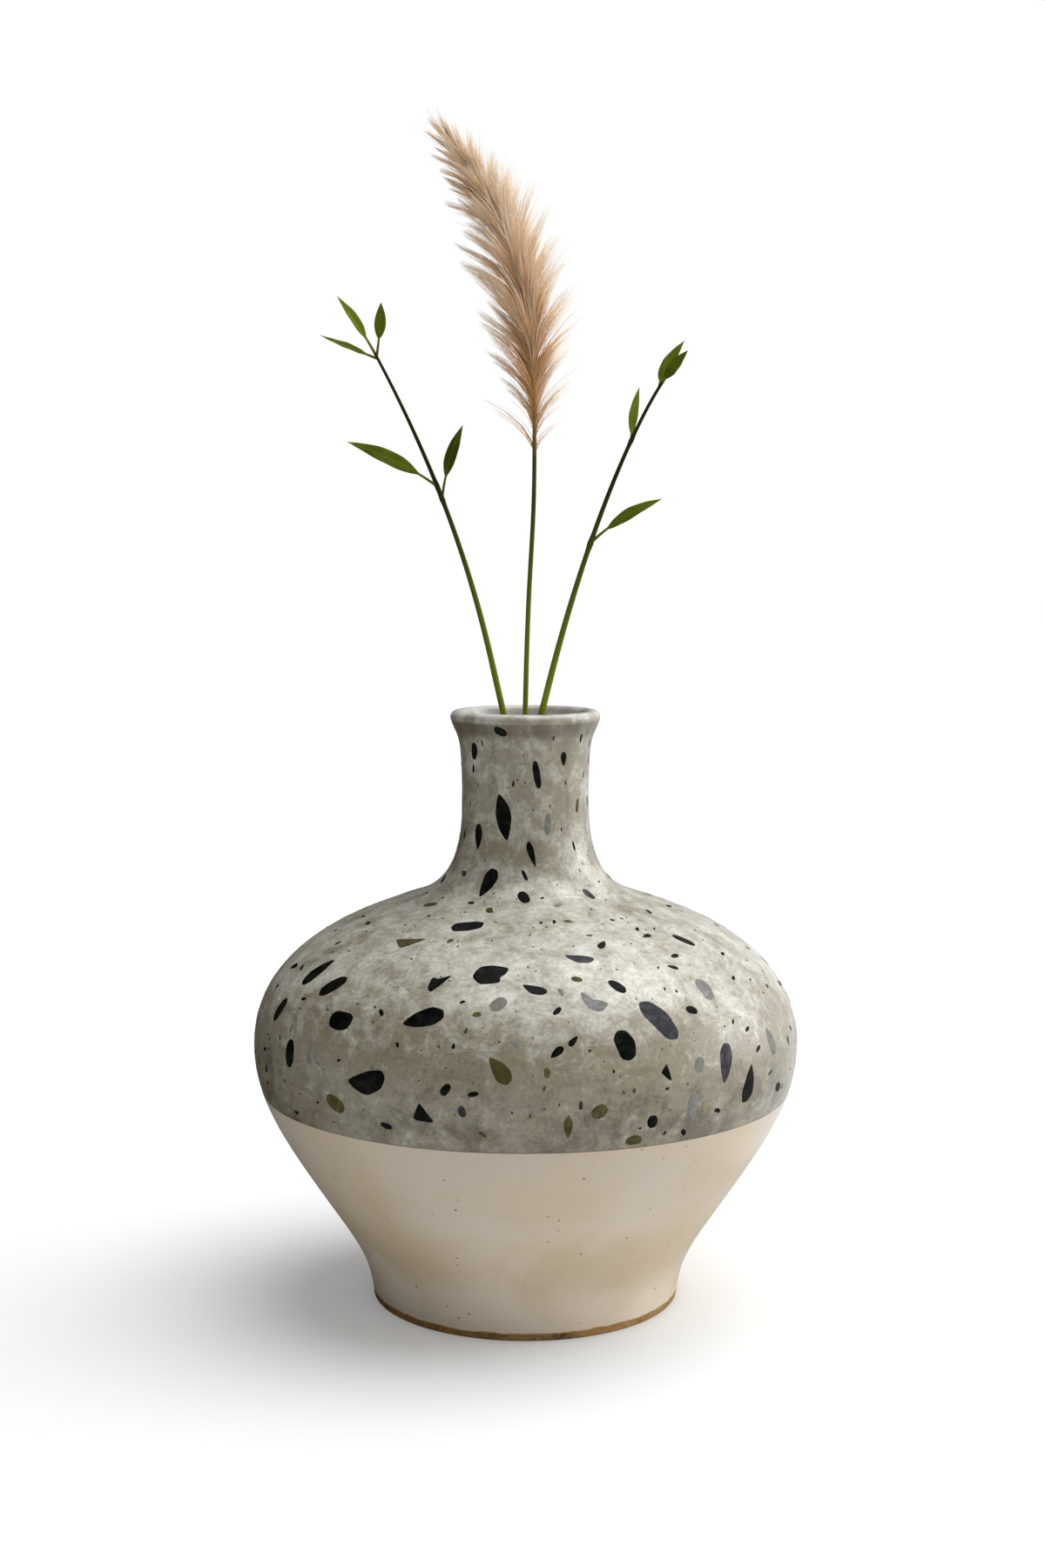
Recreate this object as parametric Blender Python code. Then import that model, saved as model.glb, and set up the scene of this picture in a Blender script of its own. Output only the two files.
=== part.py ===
"""Bud vase in two glazes, holding a dried grass and two leafy sprigs.

The vase is a turned hollow body: a lower half with the floor, an upper half with the
shoulder and neck, lapped together at the glaze line, and a bare foot ring. Each stem
stands on the vase floor, leans on the bore and draws out along its own straight run.
Lengths are in metres, +Z is up, and the origin is the middle of the footprint.
"""

import math
from typing import NamedTuple

import bmesh
import bpy
from mathutils import Vector
from mathutils.geometry import interpolate_bezier

# Vase outline: radius and height of each knot, from the foot to the lip
FOOT_RADIUS = 0.0436
WAIST_RADIUS = 0.0535
WAIST_HEIGHT = 0.0240
BELLY_RADIUS = 0.0775
BELLY_HEIGHT = 0.0742
SHOULDER_RADIUS = 0.0383
SHOULDER_HEIGHT = 0.1139
NECK_RADIUS = 0.0180
NECK_HEIGHT = 0.1424
LIP_RADIUS = 0.02125
VASE_HEIGHT = 0.1686

# Outline slope at the knots, as radius gained per unit of height
FOOT_SLOPE = 0.18
WAIST_SLOPE = 0.67
SHOULDER_SLOPE = -2.59
FLARE_SLOPE = 0.29

# Pull of the two end slopes on each span of the outline, as shares of its chord
SPAN_PULLS = ((0.35, 0.53), (0.48, 0.28), (0.48, 0.18), (0.27, 0.72), (0.91, 0.26))
SPAN_POINTS = 8
BORE_SPAN_POINTS = 5
LIP_POINTS = 8

# Walls and the joints between the turned pieces
WALL = 0.0037
FLOOR_THICKNESS = 0.0050
FLOOR_FILLET = 0.0035
FILLET_POINTS = 5
SEAM_HEIGHT = 0.0609
LAP_HEIGHT = 0.0040
CLEARANCE = 0.0003

# Foot ring
FOOT_HEIGHT = 0.0019
FOOT_WIDTH = 0.0085
FOOT_ROUND = 0.0006
ROUND_POINTS = 4

# Facets, and the distance at which two points are taken as one
TURN_SIDES = 48
SHARP_ANGLE = math.radians(40)
TOLERANCE = 0.000003

# Stems
STRAIGHT_ABOVE_RIM = 0.0080
STEM_POINTS = 22

# Leaves: stalk, blade, where the blade is widest along its length and how full it is
LEAF_STALK_RADIUS = 0.00042
LEAF_HALF_THICKNESS = 0.00024
LEAF_TIP_HALF_WIDTH = 0.00015
LEAF_WIDEST = 0.42
LEAF_FULLNESS = 0.9
LEAF_STATIONS = 13
LEAF_SIDES = 8

# Plume: greatest radius, how fast it swells and tapers, and its rows of tufts
PLUME_RADIUS = 0.0125
PLUME_SWELL = 0.10
PLUME_TAPER_POWER = 3.0
PLUME_TAPER_FULLNESS = 0.8
PLUME_REACH = Vector((-0.0276, 0.0044, 0.0935))
PLUME_HEADING = Vector((-0.64, 0.04, 0.77))
PLUME_PULLS = (0.46, 0.41)
PLUME_TIP_SHARE = 0.06
TUFT_ROWS = 11
TUFT_STEPS = 4
TUFT_DEPTH = 0.26
TUFT_SECTORS = 10
SECTOR_SIDES = 2

UP = Vector((0.0, 0.0, 1.0))


class Stem(NamedTuple):
    """A cut stem: its thickness, where it stands and leans, and where its top ends."""

    radius: float
    tip_radius: float
    seat_radius: float
    seat_bearing: float
    rim_bearing: float
    reach: tuple
    heading: tuple
    pulls: tuple


class Leaf(NamedTuple):
    """A leaf: where it leaves the stem, its spine, its stalk and blade, and how it lies."""

    name: str
    spot: float
    bend: tuple
    tip: tuple
    stalk: float
    width: float
    face: tuple
    fold: float


# Bearings are in degrees round the vase, from +X towards +Y; reach runs from rim to tip
GRASS = Stem(
    radius=0.00075,
    tip_radius=0.00060,
    seat_radius=0.0132,
    seat_bearing=107.6,
    rim_bearing=90,
    reach=(0.0026, 0.0033, 0.0714),
    heading=(0.005, 0.05, 1.0),
    pulls=(0.60, 0.40),
)
LEFT_SPRIG = Stem(
    radius=0.00090,
    tip_radius=0.00042,
    seat_radius=0.0344,
    seat_bearing=-27.8,
    rim_bearing=115,
    reach=(-0.0371, 0.0151, 0.1020),
    heading=(-0.475, 0.13, 0.88),
    pulls=(0.15, 0.52),
)
RIGHT_SPRIG = Stem(
    radius=0.00090,
    tip_radius=0.00042,
    seat_radius=0.0359,
    seat_bearing=165.5,
    rim_bearing=-73.6,
    reach=(0.0319, -0.0137, 0.0892),
    heading=(0.553, -0.13, 0.83),
    pulls=(0.50, 0.15),
)

# A leaf leaves its stem at a height above the rim; bend and tip start from the stem there
LEFT_LEAVES = (
    Leaf(
        "left_leaf_low",
        spot=0.0634,
        bend=(-0.0110, -0.0030, 0.0080),
        tip=(-0.0254, -0.0070, 0.0124),
        stalk=0.0068,
        width=0.0052,
        face=(0.25, -0.85, 0.55),
        fold=14,
    ),
    Leaf(
        "left_leaf_inner",
        spot=0.0598,
        bend=(0.0012, 0.0035, 0.0110),
        tip=(0.0060, 0.0040, 0.0214),
        stalk=0.0066,
        width=0.0037,
        face=(-0.30, -0.90, 0.15),
        fold=18,
    ),
    Leaf(
        "left_leaf_right",
        spot=LEFT_SPRIG.reach[2] - 0.0010,
        bend=(0.0010, 0.0030, 0.0085),
        tip=(0.0011, 0.0040, 0.0160),
        stalk=0.0052,
        width=0.0034,
        face=(0.15, -1.00, 0.10),
        fold=12,
    ),
    Leaf(
        "left_leaf_top",
        spot=LEFT_SPRIG.reach[2],
        bend=(-0.0048, 0.0006, 0.0086),
        tip=(-0.0106, -0.0030, 0.0160),
        stalk=0.0048,
        width=0.0030,
        face=(0.45, -0.85, 0.25),
        fold=32,
    ),
    Leaf(
        "left_leaf_outer",
        spot=LEFT_SPRIG.reach[2] - 0.0016,
        bend=(-0.0070, 0.0014, 0.0028),
        tip=(-0.0168, 0.0020, 0.0069),
        stalk=0.0037,
        width=0.0026,
        face=(0.15, -0.70, 0.75),
        fold=26,
    ),
)
RIGHT_LEAVES = (
    Leaf(
        "right_leaf_low",
        spot=0.0468,
        bend=(0.0080, -0.0036, 0.0078),
        tip=(0.0188, -0.0060, 0.0117),
        stalk=0.0060,
        width=0.0038,
        face=(-0.20, -0.80, 0.60),
        fold=16,
    ),
    Leaf(
        "right_leaf_mid",
        spot=0.0742,
        bend=(0.0004, 0.0030, 0.0070),
        tip=(0.0022, 0.0040, 0.0142),
        stalk=0.0015,
        width=0.0026,
        face=(-0.35, -0.90, 0.10),
        fold=22,
    ),
    Leaf(
        "right_leaf_front",
        spot=RIGHT_SPRIG.reach[2],
        bend=(0.0026, -0.0010, 0.0040),
        tip=(0.0065, -0.0030, 0.0081),
        stalk=0.0012,
        width=0.0036,
        face=(-0.45, -0.85, 0.35),
        fold=16,
    ),
    Leaf(
        "right_leaf_back",
        spot=RIGHT_SPRIG.reach[2] - 0.0012,
        bend=(0.0012, 0.0032, 0.0058),
        tip=(0.0068, 0.0034, 0.0124),
        stalk=0.0016,
        width=0.0036,
        face=(-0.40, -0.90, 0.20),
        fold=16,
    ),
)

STONE_GLAZE = (0.30, 0.28, 0.24, 1.0)
CREAM_GLAZE = (0.74, 0.64, 0.54, 1.0)
BARE_STONEWARE = (0.40, 0.25, 0.11, 1.0)
STRAW_GREEN = (0.36, 0.36, 0.12, 1.0)
PLUME_TAN = (0.52, 0.38, 0.24, 1.0)
SPRIG_GREEN = (0.20, 0.24, 0.05, 1.0)
LEAF_GREEN = (0.06, 0.12, 0.03, 1.0)
GLOSS = 0.22
DRY = 0.75
LEAF_SHEEN = 0.45


def clear_scene():
    for old in list(bpy.data.objects):
        bpy.data.objects.remove(old, do_unlink=True)


def finish(name, colour, roughness):
    """A non-metal Principled material of one colour."""
    material = bpy.data.materials.new(name)
    material.use_nodes = True
    shader = material.node_tree.nodes["Principled BSDF"]
    shader.inputs["Base Color"].default_value = colour
    shader.inputs["Roughness"].default_value = roughness
    shader.inputs["Metallic"].default_value = 0.0
    material.diffuse_color = colour
    return material


def place(name, data, colour, roughness, parent=None):
    """A named piece with its own material, under the empty that carries it."""
    piece = bpy.data.objects.new(name, data)
    data.materials.append(finish(name + "_finish", colour, roughness))
    bpy.context.scene.collection.objects.link(piece)
    piece.parent = parent
    return piece


def polar(radius, bearing, height):
    angle = math.radians(bearing)
    return Vector((radius * math.cos(angle), radius * math.sin(angle), height))


def arc(centre, radius, start, end, count):
    """Points of a circular arc, both ends included."""
    angles = [start + (end - start) * step / count for step in range(count + 1)]
    return [centre + radius * Vector((math.cos(a), math.sin(a))) for a in angles]


def lip_arc():
    """The rounded lip, from the outer flare over the top to the bore."""
    centre = Vector((LIP_RADIUS - WALL / 2, VASE_HEIGHT - WALL / 2))
    start = -math.atan(FLARE_SLOPE)
    return arc(centre, WALL / 2, start, start + math.pi, LIP_POINTS)


def outline(span_points=SPAN_POINTS):
    """The outer outline as (radius, height) points, from the foot up to the lip's round."""
    knots = [
        (Vector((FOOT_RADIUS, 0.0)), FOOT_SLOPE),
        (Vector((WAIST_RADIUS, WAIST_HEIGHT)), WAIST_SLOPE),
        (Vector((BELLY_RADIUS, BELLY_HEIGHT)), 0.0),
        (Vector((SHOULDER_RADIUS, SHOULDER_HEIGHT)), SHOULDER_SLOPE),
        (Vector((NECK_RADIUS, NECK_HEIGHT)), 0.0),
        (lip_arc()[0], FLARE_SLOPE),
    ]
    points = [knots[0][0]]
    for (start, lean), (end, end_lean), pulls in zip(knots, knots[1:], SPAN_PULLS):
        chord = (end - start).length
        leave = start + Vector((lean, 1.0)).normalized() * chord * pulls[0]
        arrive = end - Vector((end_lean, 1.0)).normalized() * chord * pulls[1]
        points += interpolate_bezier(start, leave, arrive, end, span_points + 1)[1:]
    return points


def inside(points, depth):
    """An upward outline moved square to itself into the wall by a depth."""
    moved = []
    for index, point in enumerate(points):
        before = points[max(index - 1, 0)]
        after = points[min(index + 1, len(points) - 1)]
        along = (after - before).normalized()
        moved.append(point + Vector((-along.y, along.x)) * depth)
    return moved


def at_height(points, height):
    """The point where an upward outline crosses a height."""
    for low, high in zip(points, points[1:]):
        if low.y <= height <= high.y:
            return low.lerp(high, (height - low.y) / (high.y - low.y))
    raise ValueError(f"the outline doesn't reach a height of {height}")


def between(points, low, high):
    """The stretch of an upward outline between two heights, ends included."""
    inner = [point for point in points if low < point.y < high]
    return [at_height(points, low), *inner, at_height(points, high)]


def bore():
    """The inner wall as (radius, height) points, from the floor up to the lip."""
    wall = inside(outline(BORE_SPAN_POINTS), WALL)
    return wall[:-1] + [lip_arc()[-1]]


def floor_height():
    return FOOT_HEIGHT + CLEARANCE + FLOOR_THICKNESS


def turned(name, profile, closed, colour, roughness):
    """A piece spun round the vase axis from a profile that runs down its outer side."""
    mesh = bpy.data.meshes.new(name)
    shape = bmesh.new()
    corners = [shape.verts.new((point.x, 0.0, point.y)) for point in profile]
    pairs = list(zip(corners, corners[1:]))
    if closed:
        pairs.append((corners[-1], corners[0]))
    edges = [shape.edges.new(pair) for pair in pairs]
    bmesh.ops.spin(
        shape,
        geom=corners + edges,
        axis=UP,
        cent=(0.0, 0.0, 0.0),
        angle=2 * math.pi,
        steps=TURN_SIDES,
    )
    bmesh.ops.remove_doubles(shape, verts=shape.verts, dist=TOLERANCE)
    bmesh.ops.recalc_face_normals(shape, faces=shape.faces)
    shape.to_mesh(mesh)
    shape.free()
    mesh.shade_smooth()
    mesh.set_sharp_from_angle(angle=SHARP_ANGLE)
    return place(name, mesh, colour, roughness)


def foot_ring():
    """The bare ring that the vase stands on, flush with the body and rounded below."""
    outer = at_height(outline(), FOOT_HEIGHT).x
    inner = outer - FOOT_WIDTH
    low_outer = Vector((outer - FOOT_ROUND, FOOT_ROUND))
    low_inner = Vector((inner + FOOT_ROUND, FOOT_ROUND))
    profile = [
        Vector((outer, FOOT_HEIGHT)),
        *arc(low_outer, FOOT_ROUND, 0.0, -math.pi / 2, ROUND_POINTS),
        *arc(low_inner, FOOT_ROUND, -math.pi / 2, -math.pi, ROUND_POINTS),
        Vector((inner, FOOT_HEIGHT)),
    ]
    turned("foot_ring", profile, True, BARE_STONEWARE, DRY)


def lower_body():
    """Floor and lower wall, with the inner half of the wall raised as a spigot at the seam."""
    outer = outline()
    floor = floor_height()
    underside = floor - FLOOR_THICKNESS
    wall = between(bore(), floor + FLOOR_FILLET, SEAM_HEIGHT + LAP_HEIGHT)
    corner = at_height(bore(), floor)
    fillet_start = corner - Vector((FLOOR_FILLET, 0.0))
    fillet = interpolate_bezier(fillet_start, corner, corner, wall[0], FILLET_POINTS)
    spigot = between(
        inside(outer, (WALL + CLEARANCE) / 2), SEAM_HEIGHT, SEAM_HEIGHT + LAP_HEIGHT
    )
    skin = between(outer, underside, SEAM_HEIGHT)
    profile = [
        Vector((0.0, floor)),
        *fillet,
        *wall[1:],
        *reversed(spigot),
        *reversed(skin),
        Vector((0.0, underside)),
    ]
    turned("lower_body", profile, False, CREAM_GLAZE, GLOSS)


def upper_body():
    """Upper belly, shoulder, neck and lip, with a socket over the lower half's spigot."""
    outer = outline()
    seam = SEAM_HEIGHT + CLEARANCE
    shelf = SEAM_HEIGHT + LAP_HEIGHT + CLEARANCE
    skin = between(outer, seam, outer[-1].y)[:-1]
    socket = between(inside(outer, (WALL - CLEARANCE) / 2), seam, shelf)
    wall = between(bore(), shelf, bore()[-1].y)[:-1]
    profile = [*reversed(skin), *socket, *wall, *reversed(lip_arc())]
    turned("upper_body", profile, True, STONE_GLAZE, GLOSS)


def stem_axis(stem, rim_radius):
    """A stem's cut end on the floor and its crossing of the rim, for a lean at the rim."""
    rim = polar(rim_radius, stem.rim_bearing, VASE_HEIGHT)
    spot = polar(stem.seat_radius, stem.seat_bearing, floor_height())
    along = (rim - spot).normalized()
    lift = CLEARANCE + stem.radius * math.hypot(along.x, along.y)
    return spot + UP * lift, rim


def leans_clear(stem, rim_radius):
    """Whether the straight run keeps the clearance to the bore all the way up."""
    seat, rim = stem_axis(stem, rim_radius)
    along = (rim - seat).normalized()
    room = (stem.radius + CLEARANCE) / along.z
    for point in bore() + lip_arc()[LIP_POINTS // 2:]:
        if point.y < SHOULDER_HEIGHT:
            continue
        middle = seat + along * (point.y - seat.z) / along.z
        if math.hypot(middle.x, middle.y) + room > point.x:
            return False
    return True


def seated(stem):
    """The stem's cut end and rim crossing when it leans on the bore."""
    near, far = 0.0, LIP_RADIUS
    while far - near > TOLERANCE:
        middle = (near + far) / 2
        if leans_clear(stem, middle):
            near = middle
        else:
            far = middle
    return stem_axis(stem, near)


def stem_curve(stem):
    """The bent part of a stem from just above the rim to its tip."""
    seat, rim = seated(stem)
    along = (rim - seat).normalized()
    start = rim + along * STRAIGHT_ABOVE_RIM
    tip = rim + Vector(stem.reach)
    chord = (tip - start).length
    leave = start + along * chord * stem.pulls[0]
    arrive = tip - Vector(stem.heading).normalized() * chord * stem.pulls[1]
    return interpolate_bezier(start, leave, arrive, tip, STEM_POINTS)


def stem_radius(stem, share):
    """Stem radius at a share of its bent part."""
    return stem.radius + (stem.tip_radius - stem.radius) * share


def stem_at(stem, height):
    """The middle of the stem, its direction and its radius at a height above the rim."""
    points = stem_curve(stem)
    level = min(VASE_HEIGHT + height, points[-1].z)
    index = max(i for i, point in enumerate(points[:-1]) if point.z <= level)
    step = points[index + 1] - points[index]
    part_way = (level - points[index].z) / step.z
    share = (index + part_way) / (len(points) - 1)
    return points[index] + step * part_way, step.normalized(), stem_radius(stem, share)


def stem_piece(name, stem, colour):
    """A tapered stem, standing on an empty at its cut end that marks the way it draws out."""
    seat, _ = seated(stem)
    carrier = bpy.data.objects.new(name + "_seat", None)
    bpy.context.scene.collection.objects.link(carrier)
    carrier.location = seat
    points = stem_curve(stem)
    curve = bpy.data.curves.new(name, "CURVE")
    curve.dimensions = "3D"
    curve.bevel_depth = stem.radius
    curve.bevel_resolution = 2
    curve.use_fill_caps = True
    spline = curve.splines.new("POLY")
    spline.points.add(len(points))
    spline.points[0].co = (0.0, 0.0, 0.0, 1.0)
    for index, point in enumerate(points):
        knot = spline.points[index + 1]
        knot.co = (*(point - seat), 1.0)
        knot.radius = stem_radius(stem, index / (len(points) - 1)) / stem.radius
    place(name, curve, colour, LEAF_SHEEN, carrier)
    return carrier


def loft(name, rings, colour, roughness, parent):
    """A closed body through rings of points, capped at both ends."""
    shape = bmesh.new()
    loops = [[shape.verts.new(point - parent.location) for point in ring] for ring in rings]
    for lower, upper in zip(loops, loops[1:]):
        for index in range(len(lower)):
            after = (index + 1) % len(lower)
            shape.faces.new((lower[index], lower[after], upper[after], upper[index]))
    shape.faces.new(list(reversed(loops[0])))
    shape.faces.new(loops[-1])
    bmesh.ops.recalc_face_normals(shape, faces=shape.faces)
    mesh = bpy.data.meshes.new(name)
    shape.to_mesh(mesh)
    shape.free()
    mesh.shade_smooth()
    mesh.set_sharp_from_angle(angle=SHARP_ANGLE)
    place(name, mesh, colour, roughness, parent)


def leaf_start(stem, leaf):
    """Where a leaf's stalk begins: beside the stem, or just past its tip."""
    middle, along, radius = stem_at(stem, leaf.spot)
    if leaf.spot >= stem.reach[2]:
        return middle + along * CLEARANCE
    way = Vector(leaf.bend).normalized()
    outward = (way - along * way.dot(along)).normalized()
    lean = abs(way.dot(along))
    return middle + outward * (radius + CLEARANCE + LEAF_STALK_RADIUS * lean)


def leaf_half_width(leaf, share, stalk_share):
    """Half the breadth at a share of the spine: a thin stalk, then a lance-shaped blade."""
    if share <= stalk_share:
        return LEAF_STALK_RADIUS
    blade = (share - stalk_share) / (1 - stalk_share)
    skew = math.log(0.5) / math.log(LEAF_WIDEST)
    swell = math.sin(math.pi * blade**skew) ** LEAF_FULLNESS
    narrow = LEAF_STALK_RADIUS + (LEAF_TIP_HALF_WIDTH - LEAF_STALK_RADIUS) * blade
    return narrow + (leaf.width / 2 - LEAF_STALK_RADIUS) * swell


def leaf_piece(stem, leaf, parent):
    """A folded lance-shaped leaf on a round stalk."""
    middle, _, _ = stem_at(stem, leaf.spot)
    start = leaf_start(stem, leaf)
    bend = middle + Vector(leaf.bend)
    tip = middle + Vector(leaf.tip)
    # A curve with one bend point has both its handles two thirds of the way to it
    leave = start.lerp(bend, 2 / 3)
    arrive = tip.lerp(bend, 2 / 3)
    spine = interpolate_bezier(start, leave, arrive, tip, LEAF_STATIONS)
    length = sum((b - a).length for a, b in zip(spine, spine[1:]))
    rings = []
    for index, point in enumerate(spine):
        share = index / (LEAF_STATIONS - 1)
        along = spine[min(index + 1, LEAF_STATIONS - 1)] - spine[max(index - 1, 0)]
        side = along.cross(Vector(leaf.face)).normalized()
        rise = side.cross(along).normalized()
        half = leaf_half_width(leaf, share, leaf.stalk / length)
        flat = max((half - LEAF_STALK_RADIUS) / (leaf.width / 2), 0.0)
        thick = LEAF_STALK_RADIUS + (LEAF_HALF_THICKNESS - LEAF_STALK_RADIUS) * share
        thick = min(thick, half)
        lift = math.tan(math.radians(leaf.fold)) * flat
        ring = []
        for corner in range(LEAF_SIDES):
            angle = 2 * math.pi * corner / LEAF_SIDES
            across = half * math.cos(angle)
            height = thick * math.sin(angle) + abs(across) * lift
            ring.append(point - side * across + rise * height)
        rings.append(ring)
    loft(leaf.name, rings, LEAF_GREEN, LEAF_SHEEN, parent)


def plume_radius(share):
    """Plume radius along its spine, before the tufts are cut into it."""
    swell = 1 - math.exp(-share / PLUME_SWELL)
    taper = max(1 - share**PLUME_TAPER_POWER, 0.0) ** PLUME_TAPER_FULLNESS
    return PLUME_RADIUS * swell * taper


def plume_piece(parent):
    """The seed head: a tapering body in staggered rows of tufts that point up and out."""
    foot, along, _ = stem_at(GRASS, GRASS.reach[2])
    base = foot + along * CLEARANCE
    tip = base + PLUME_REACH
    leave = base + along * PLUME_REACH.length * PLUME_PULLS[0]
    arrive = tip - PLUME_HEADING.normalized() * PLUME_REACH.length * PLUME_PULLS[1]
    count = TUFT_ROWS * TUFT_STEPS + 1
    spine = interpolate_bezier(base, leave, arrive, tip, count)
    sides = TUFT_SECTORS * SECTOR_SIDES
    rings = []
    for index, point in enumerate(spine):
        share = index / (count - 1)
        forward = spine[min(index + 1, count - 1)] - spine[max(index - 1, 0)]
        across = forward.cross(Vector((0.0, 1.0, 0.0))).normalized()
        back = forward.cross(across).normalized()
        body = max(plume_radius(share), PLUME_TIP_SHARE * PLUME_RADIUS)
        ring = []
        for side in range(sides):
            stagger = 0.5 * (side // SECTOR_SIDES % 2)
            rise = (index / TUFT_STEPS + stagger) % 1.0
            radius = body * (1 - TUFT_DEPTH * (1 - rise))
            angle = 2 * math.pi * side / sides
            ring.append(point + (across * math.cos(angle) + back * math.sin(angle)) * radius)
        rings.append(ring)
    loft("grass_plume", rings, PLUME_TAN, DRY, parent)


def main():
    clear_scene()
    foot_ring()
    lower_body()
    upper_body()
    grass = stem_piece("grass_stem", GRASS, STRAW_GREEN)
    plume_piece(grass)
    left = stem_piece("left_sprig_stem", LEFT_SPRIG, SPRIG_GREEN)
    for leaf in LEFT_LEAVES:
        leaf_piece(LEFT_SPRIG, leaf, left)
    right = stem_piece("right_sprig_stem", RIGHT_SPRIG, SPRIG_GREEN)
    for leaf in RIGHT_LEAVES:
        leaf_piece(RIGHT_SPRIG, leaf, right)


if __name__ == "__main__":
    main()
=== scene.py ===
"""Looks for a two-glaze bud vase that holds a dried grass and two leafy sprigs.

Laid out as an add-on and run as a script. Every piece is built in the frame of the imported
part, in metres, and rides on one of its bodies.
"""

import math
import random
from functools import partial
from typing import NamedTuple

import bpy
import numpy as np
from bpy.props import FloatProperty, FloatVectorProperty, IntProperty, PointerProperty
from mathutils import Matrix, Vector
from mathutils.geometry import interpolate_bezier


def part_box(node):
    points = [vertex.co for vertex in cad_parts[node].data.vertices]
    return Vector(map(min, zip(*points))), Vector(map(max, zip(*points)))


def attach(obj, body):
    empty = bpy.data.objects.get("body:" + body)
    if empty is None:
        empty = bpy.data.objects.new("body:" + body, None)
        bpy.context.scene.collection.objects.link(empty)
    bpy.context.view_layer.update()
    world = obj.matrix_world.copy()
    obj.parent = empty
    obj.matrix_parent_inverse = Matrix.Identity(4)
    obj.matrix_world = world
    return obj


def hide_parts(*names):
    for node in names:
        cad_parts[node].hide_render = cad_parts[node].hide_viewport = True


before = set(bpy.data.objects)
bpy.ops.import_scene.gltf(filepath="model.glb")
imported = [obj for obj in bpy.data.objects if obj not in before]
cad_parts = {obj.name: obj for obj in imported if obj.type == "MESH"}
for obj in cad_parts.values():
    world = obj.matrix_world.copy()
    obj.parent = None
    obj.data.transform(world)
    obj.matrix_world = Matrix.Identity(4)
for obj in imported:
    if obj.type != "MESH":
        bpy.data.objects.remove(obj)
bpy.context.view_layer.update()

bl_info = {
    "name": "Two-glaze bud vase",
    "version": (1, 0, 0),
    "blender": (4, 5, 0),
    "location": "View3D > Sidebar > Bud vase",
    "description": "Builds the glazes, chips, stems, leaves and plume of a bud vase",
    "category": "Object",
}

MM = 0.001
UP = Vector((0.0, 0.0, 1.0))
UPPER_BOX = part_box("upper_body")
FOOT_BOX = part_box("foot_ring")


def linear(hex_code):
    """An sRGB hex colour as linear red, green, blue and alpha."""
    channels = [int(hex_code[i:i + 2], 16) / 255 for i in (1, 3, 5)]
    curved = [c / 12.92 if c <= 0.04045 else ((c + 0.055) / 1.055) ** 2.4 for c in channels]
    return (*curved, 1.0)


def colour(name, description, hex_code):
    return FloatVectorProperty(
        name=name,
        description=description,
        subtype="COLOR",
        size=4,
        min=0.0,
        max=1.0,
        default=linear(hex_code),
    )


def how_many(name, description, default):
    return IntProperty(name=name, description=description, default=default, min=0)


def brightness(name, description, default):
    return FloatProperty(name=name, description=description, default=default, min=0.0)


def degrees(name, description, default):
    return FloatProperty(
        name=name, description=description, subtype="ANGLE", default=math.radians(default)
    )


def length(name, description, default):
    return FloatProperty(
        name=name, description=description, unit="LENGTH", precision=5, default=default
    )


# Outline of the vase: radius and height of its knots and the radius gained per unit of height
FOOT_KNOT = (0.0436, 0.0, 0.18)
WAIST_KNOT = (0.0535, 0.0240, 0.67)
BELLY_HEIGHT = 0.0742
SHOULDER_KNOT = (0.0383, 0.1139, -2.59)
NECK_KNOT = (0.0180, 0.1424, 0.0)
LIP_RADIUS = 0.02125
FLARE = 0.29
SPAN_PULLS = ((0.35, 0.53), (0.48, 0.28), (0.48, 0.18), (0.27, 0.72), (0.91, 0.26))
SPAN_ROWS = 26
LIP_ROWS = 14
TURN_SIDES = 192
SHARP_EDGE = math.radians(50)
FLOOR_FILLET = 0.0035
FOOT_RING_WIDTH = 0.0085
FOOT_ROUNDING = 0.0006
# Heights between which the shoulder's glaze turns into the neck's
NECK_BLEND = (0.116, 0.132)


class Stem(NamedTuple):
    """A stem: its cut end, rim crossing, tip beyond the rim, end heading, pulls and radii."""

    seat: tuple
    rim: tuple
    reach: tuple
    heading: tuple
    pulls: tuple
    radius: float
    tip_radius: float


GRASS = Stem(
    seat=(-0.00399, 0.01258, 0.00752),
    rim=(0.0, 0.01336, 0.1686),
    reach=(0.0026, 0.0033, 0.0714),
    heading=(0.005, 0.05, 1.0),
    pulls=(0.60, 0.40),
    radius=0.00075,
    tip_radius=0.00060,
)
LEFT_SPRIG = Stem(
    seat=(0.03043, -0.01604, 0.00776),
    rim=(-0.00681, 0.01460, 0.1686),
    reach=(-0.0371, 0.0151, 0.1020),
    heading=(-0.475, 0.13, 0.88),
    pulls=(0.15, 0.52),
    radius=0.00090,
    tip_radius=0.00042,
)
RIGHT_SPRIG = Stem(
    seat=(-0.03476, 0.00899, 0.00775),
    rim=(0.00441, -0.01497, 0.1686),
    reach=(0.0319, -0.0137, 0.0892),
    heading=(0.553, -0.13, 0.83),
    pulls=(0.50, 0.15),
    radius=0.00090,
    tip_radius=0.00042,
)
STRAIGHT_ABOVE_RIM = 0.0080


class Leaf(NamedTuple):
    """A leaf: its node, height on the stem above the rim, spine, blade and lie."""

    node: str
    spot: float
    bend: tuple
    tip: tuple
    stalk: float
    width: float
    face: tuple
    fold: float
    tone: float


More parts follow.
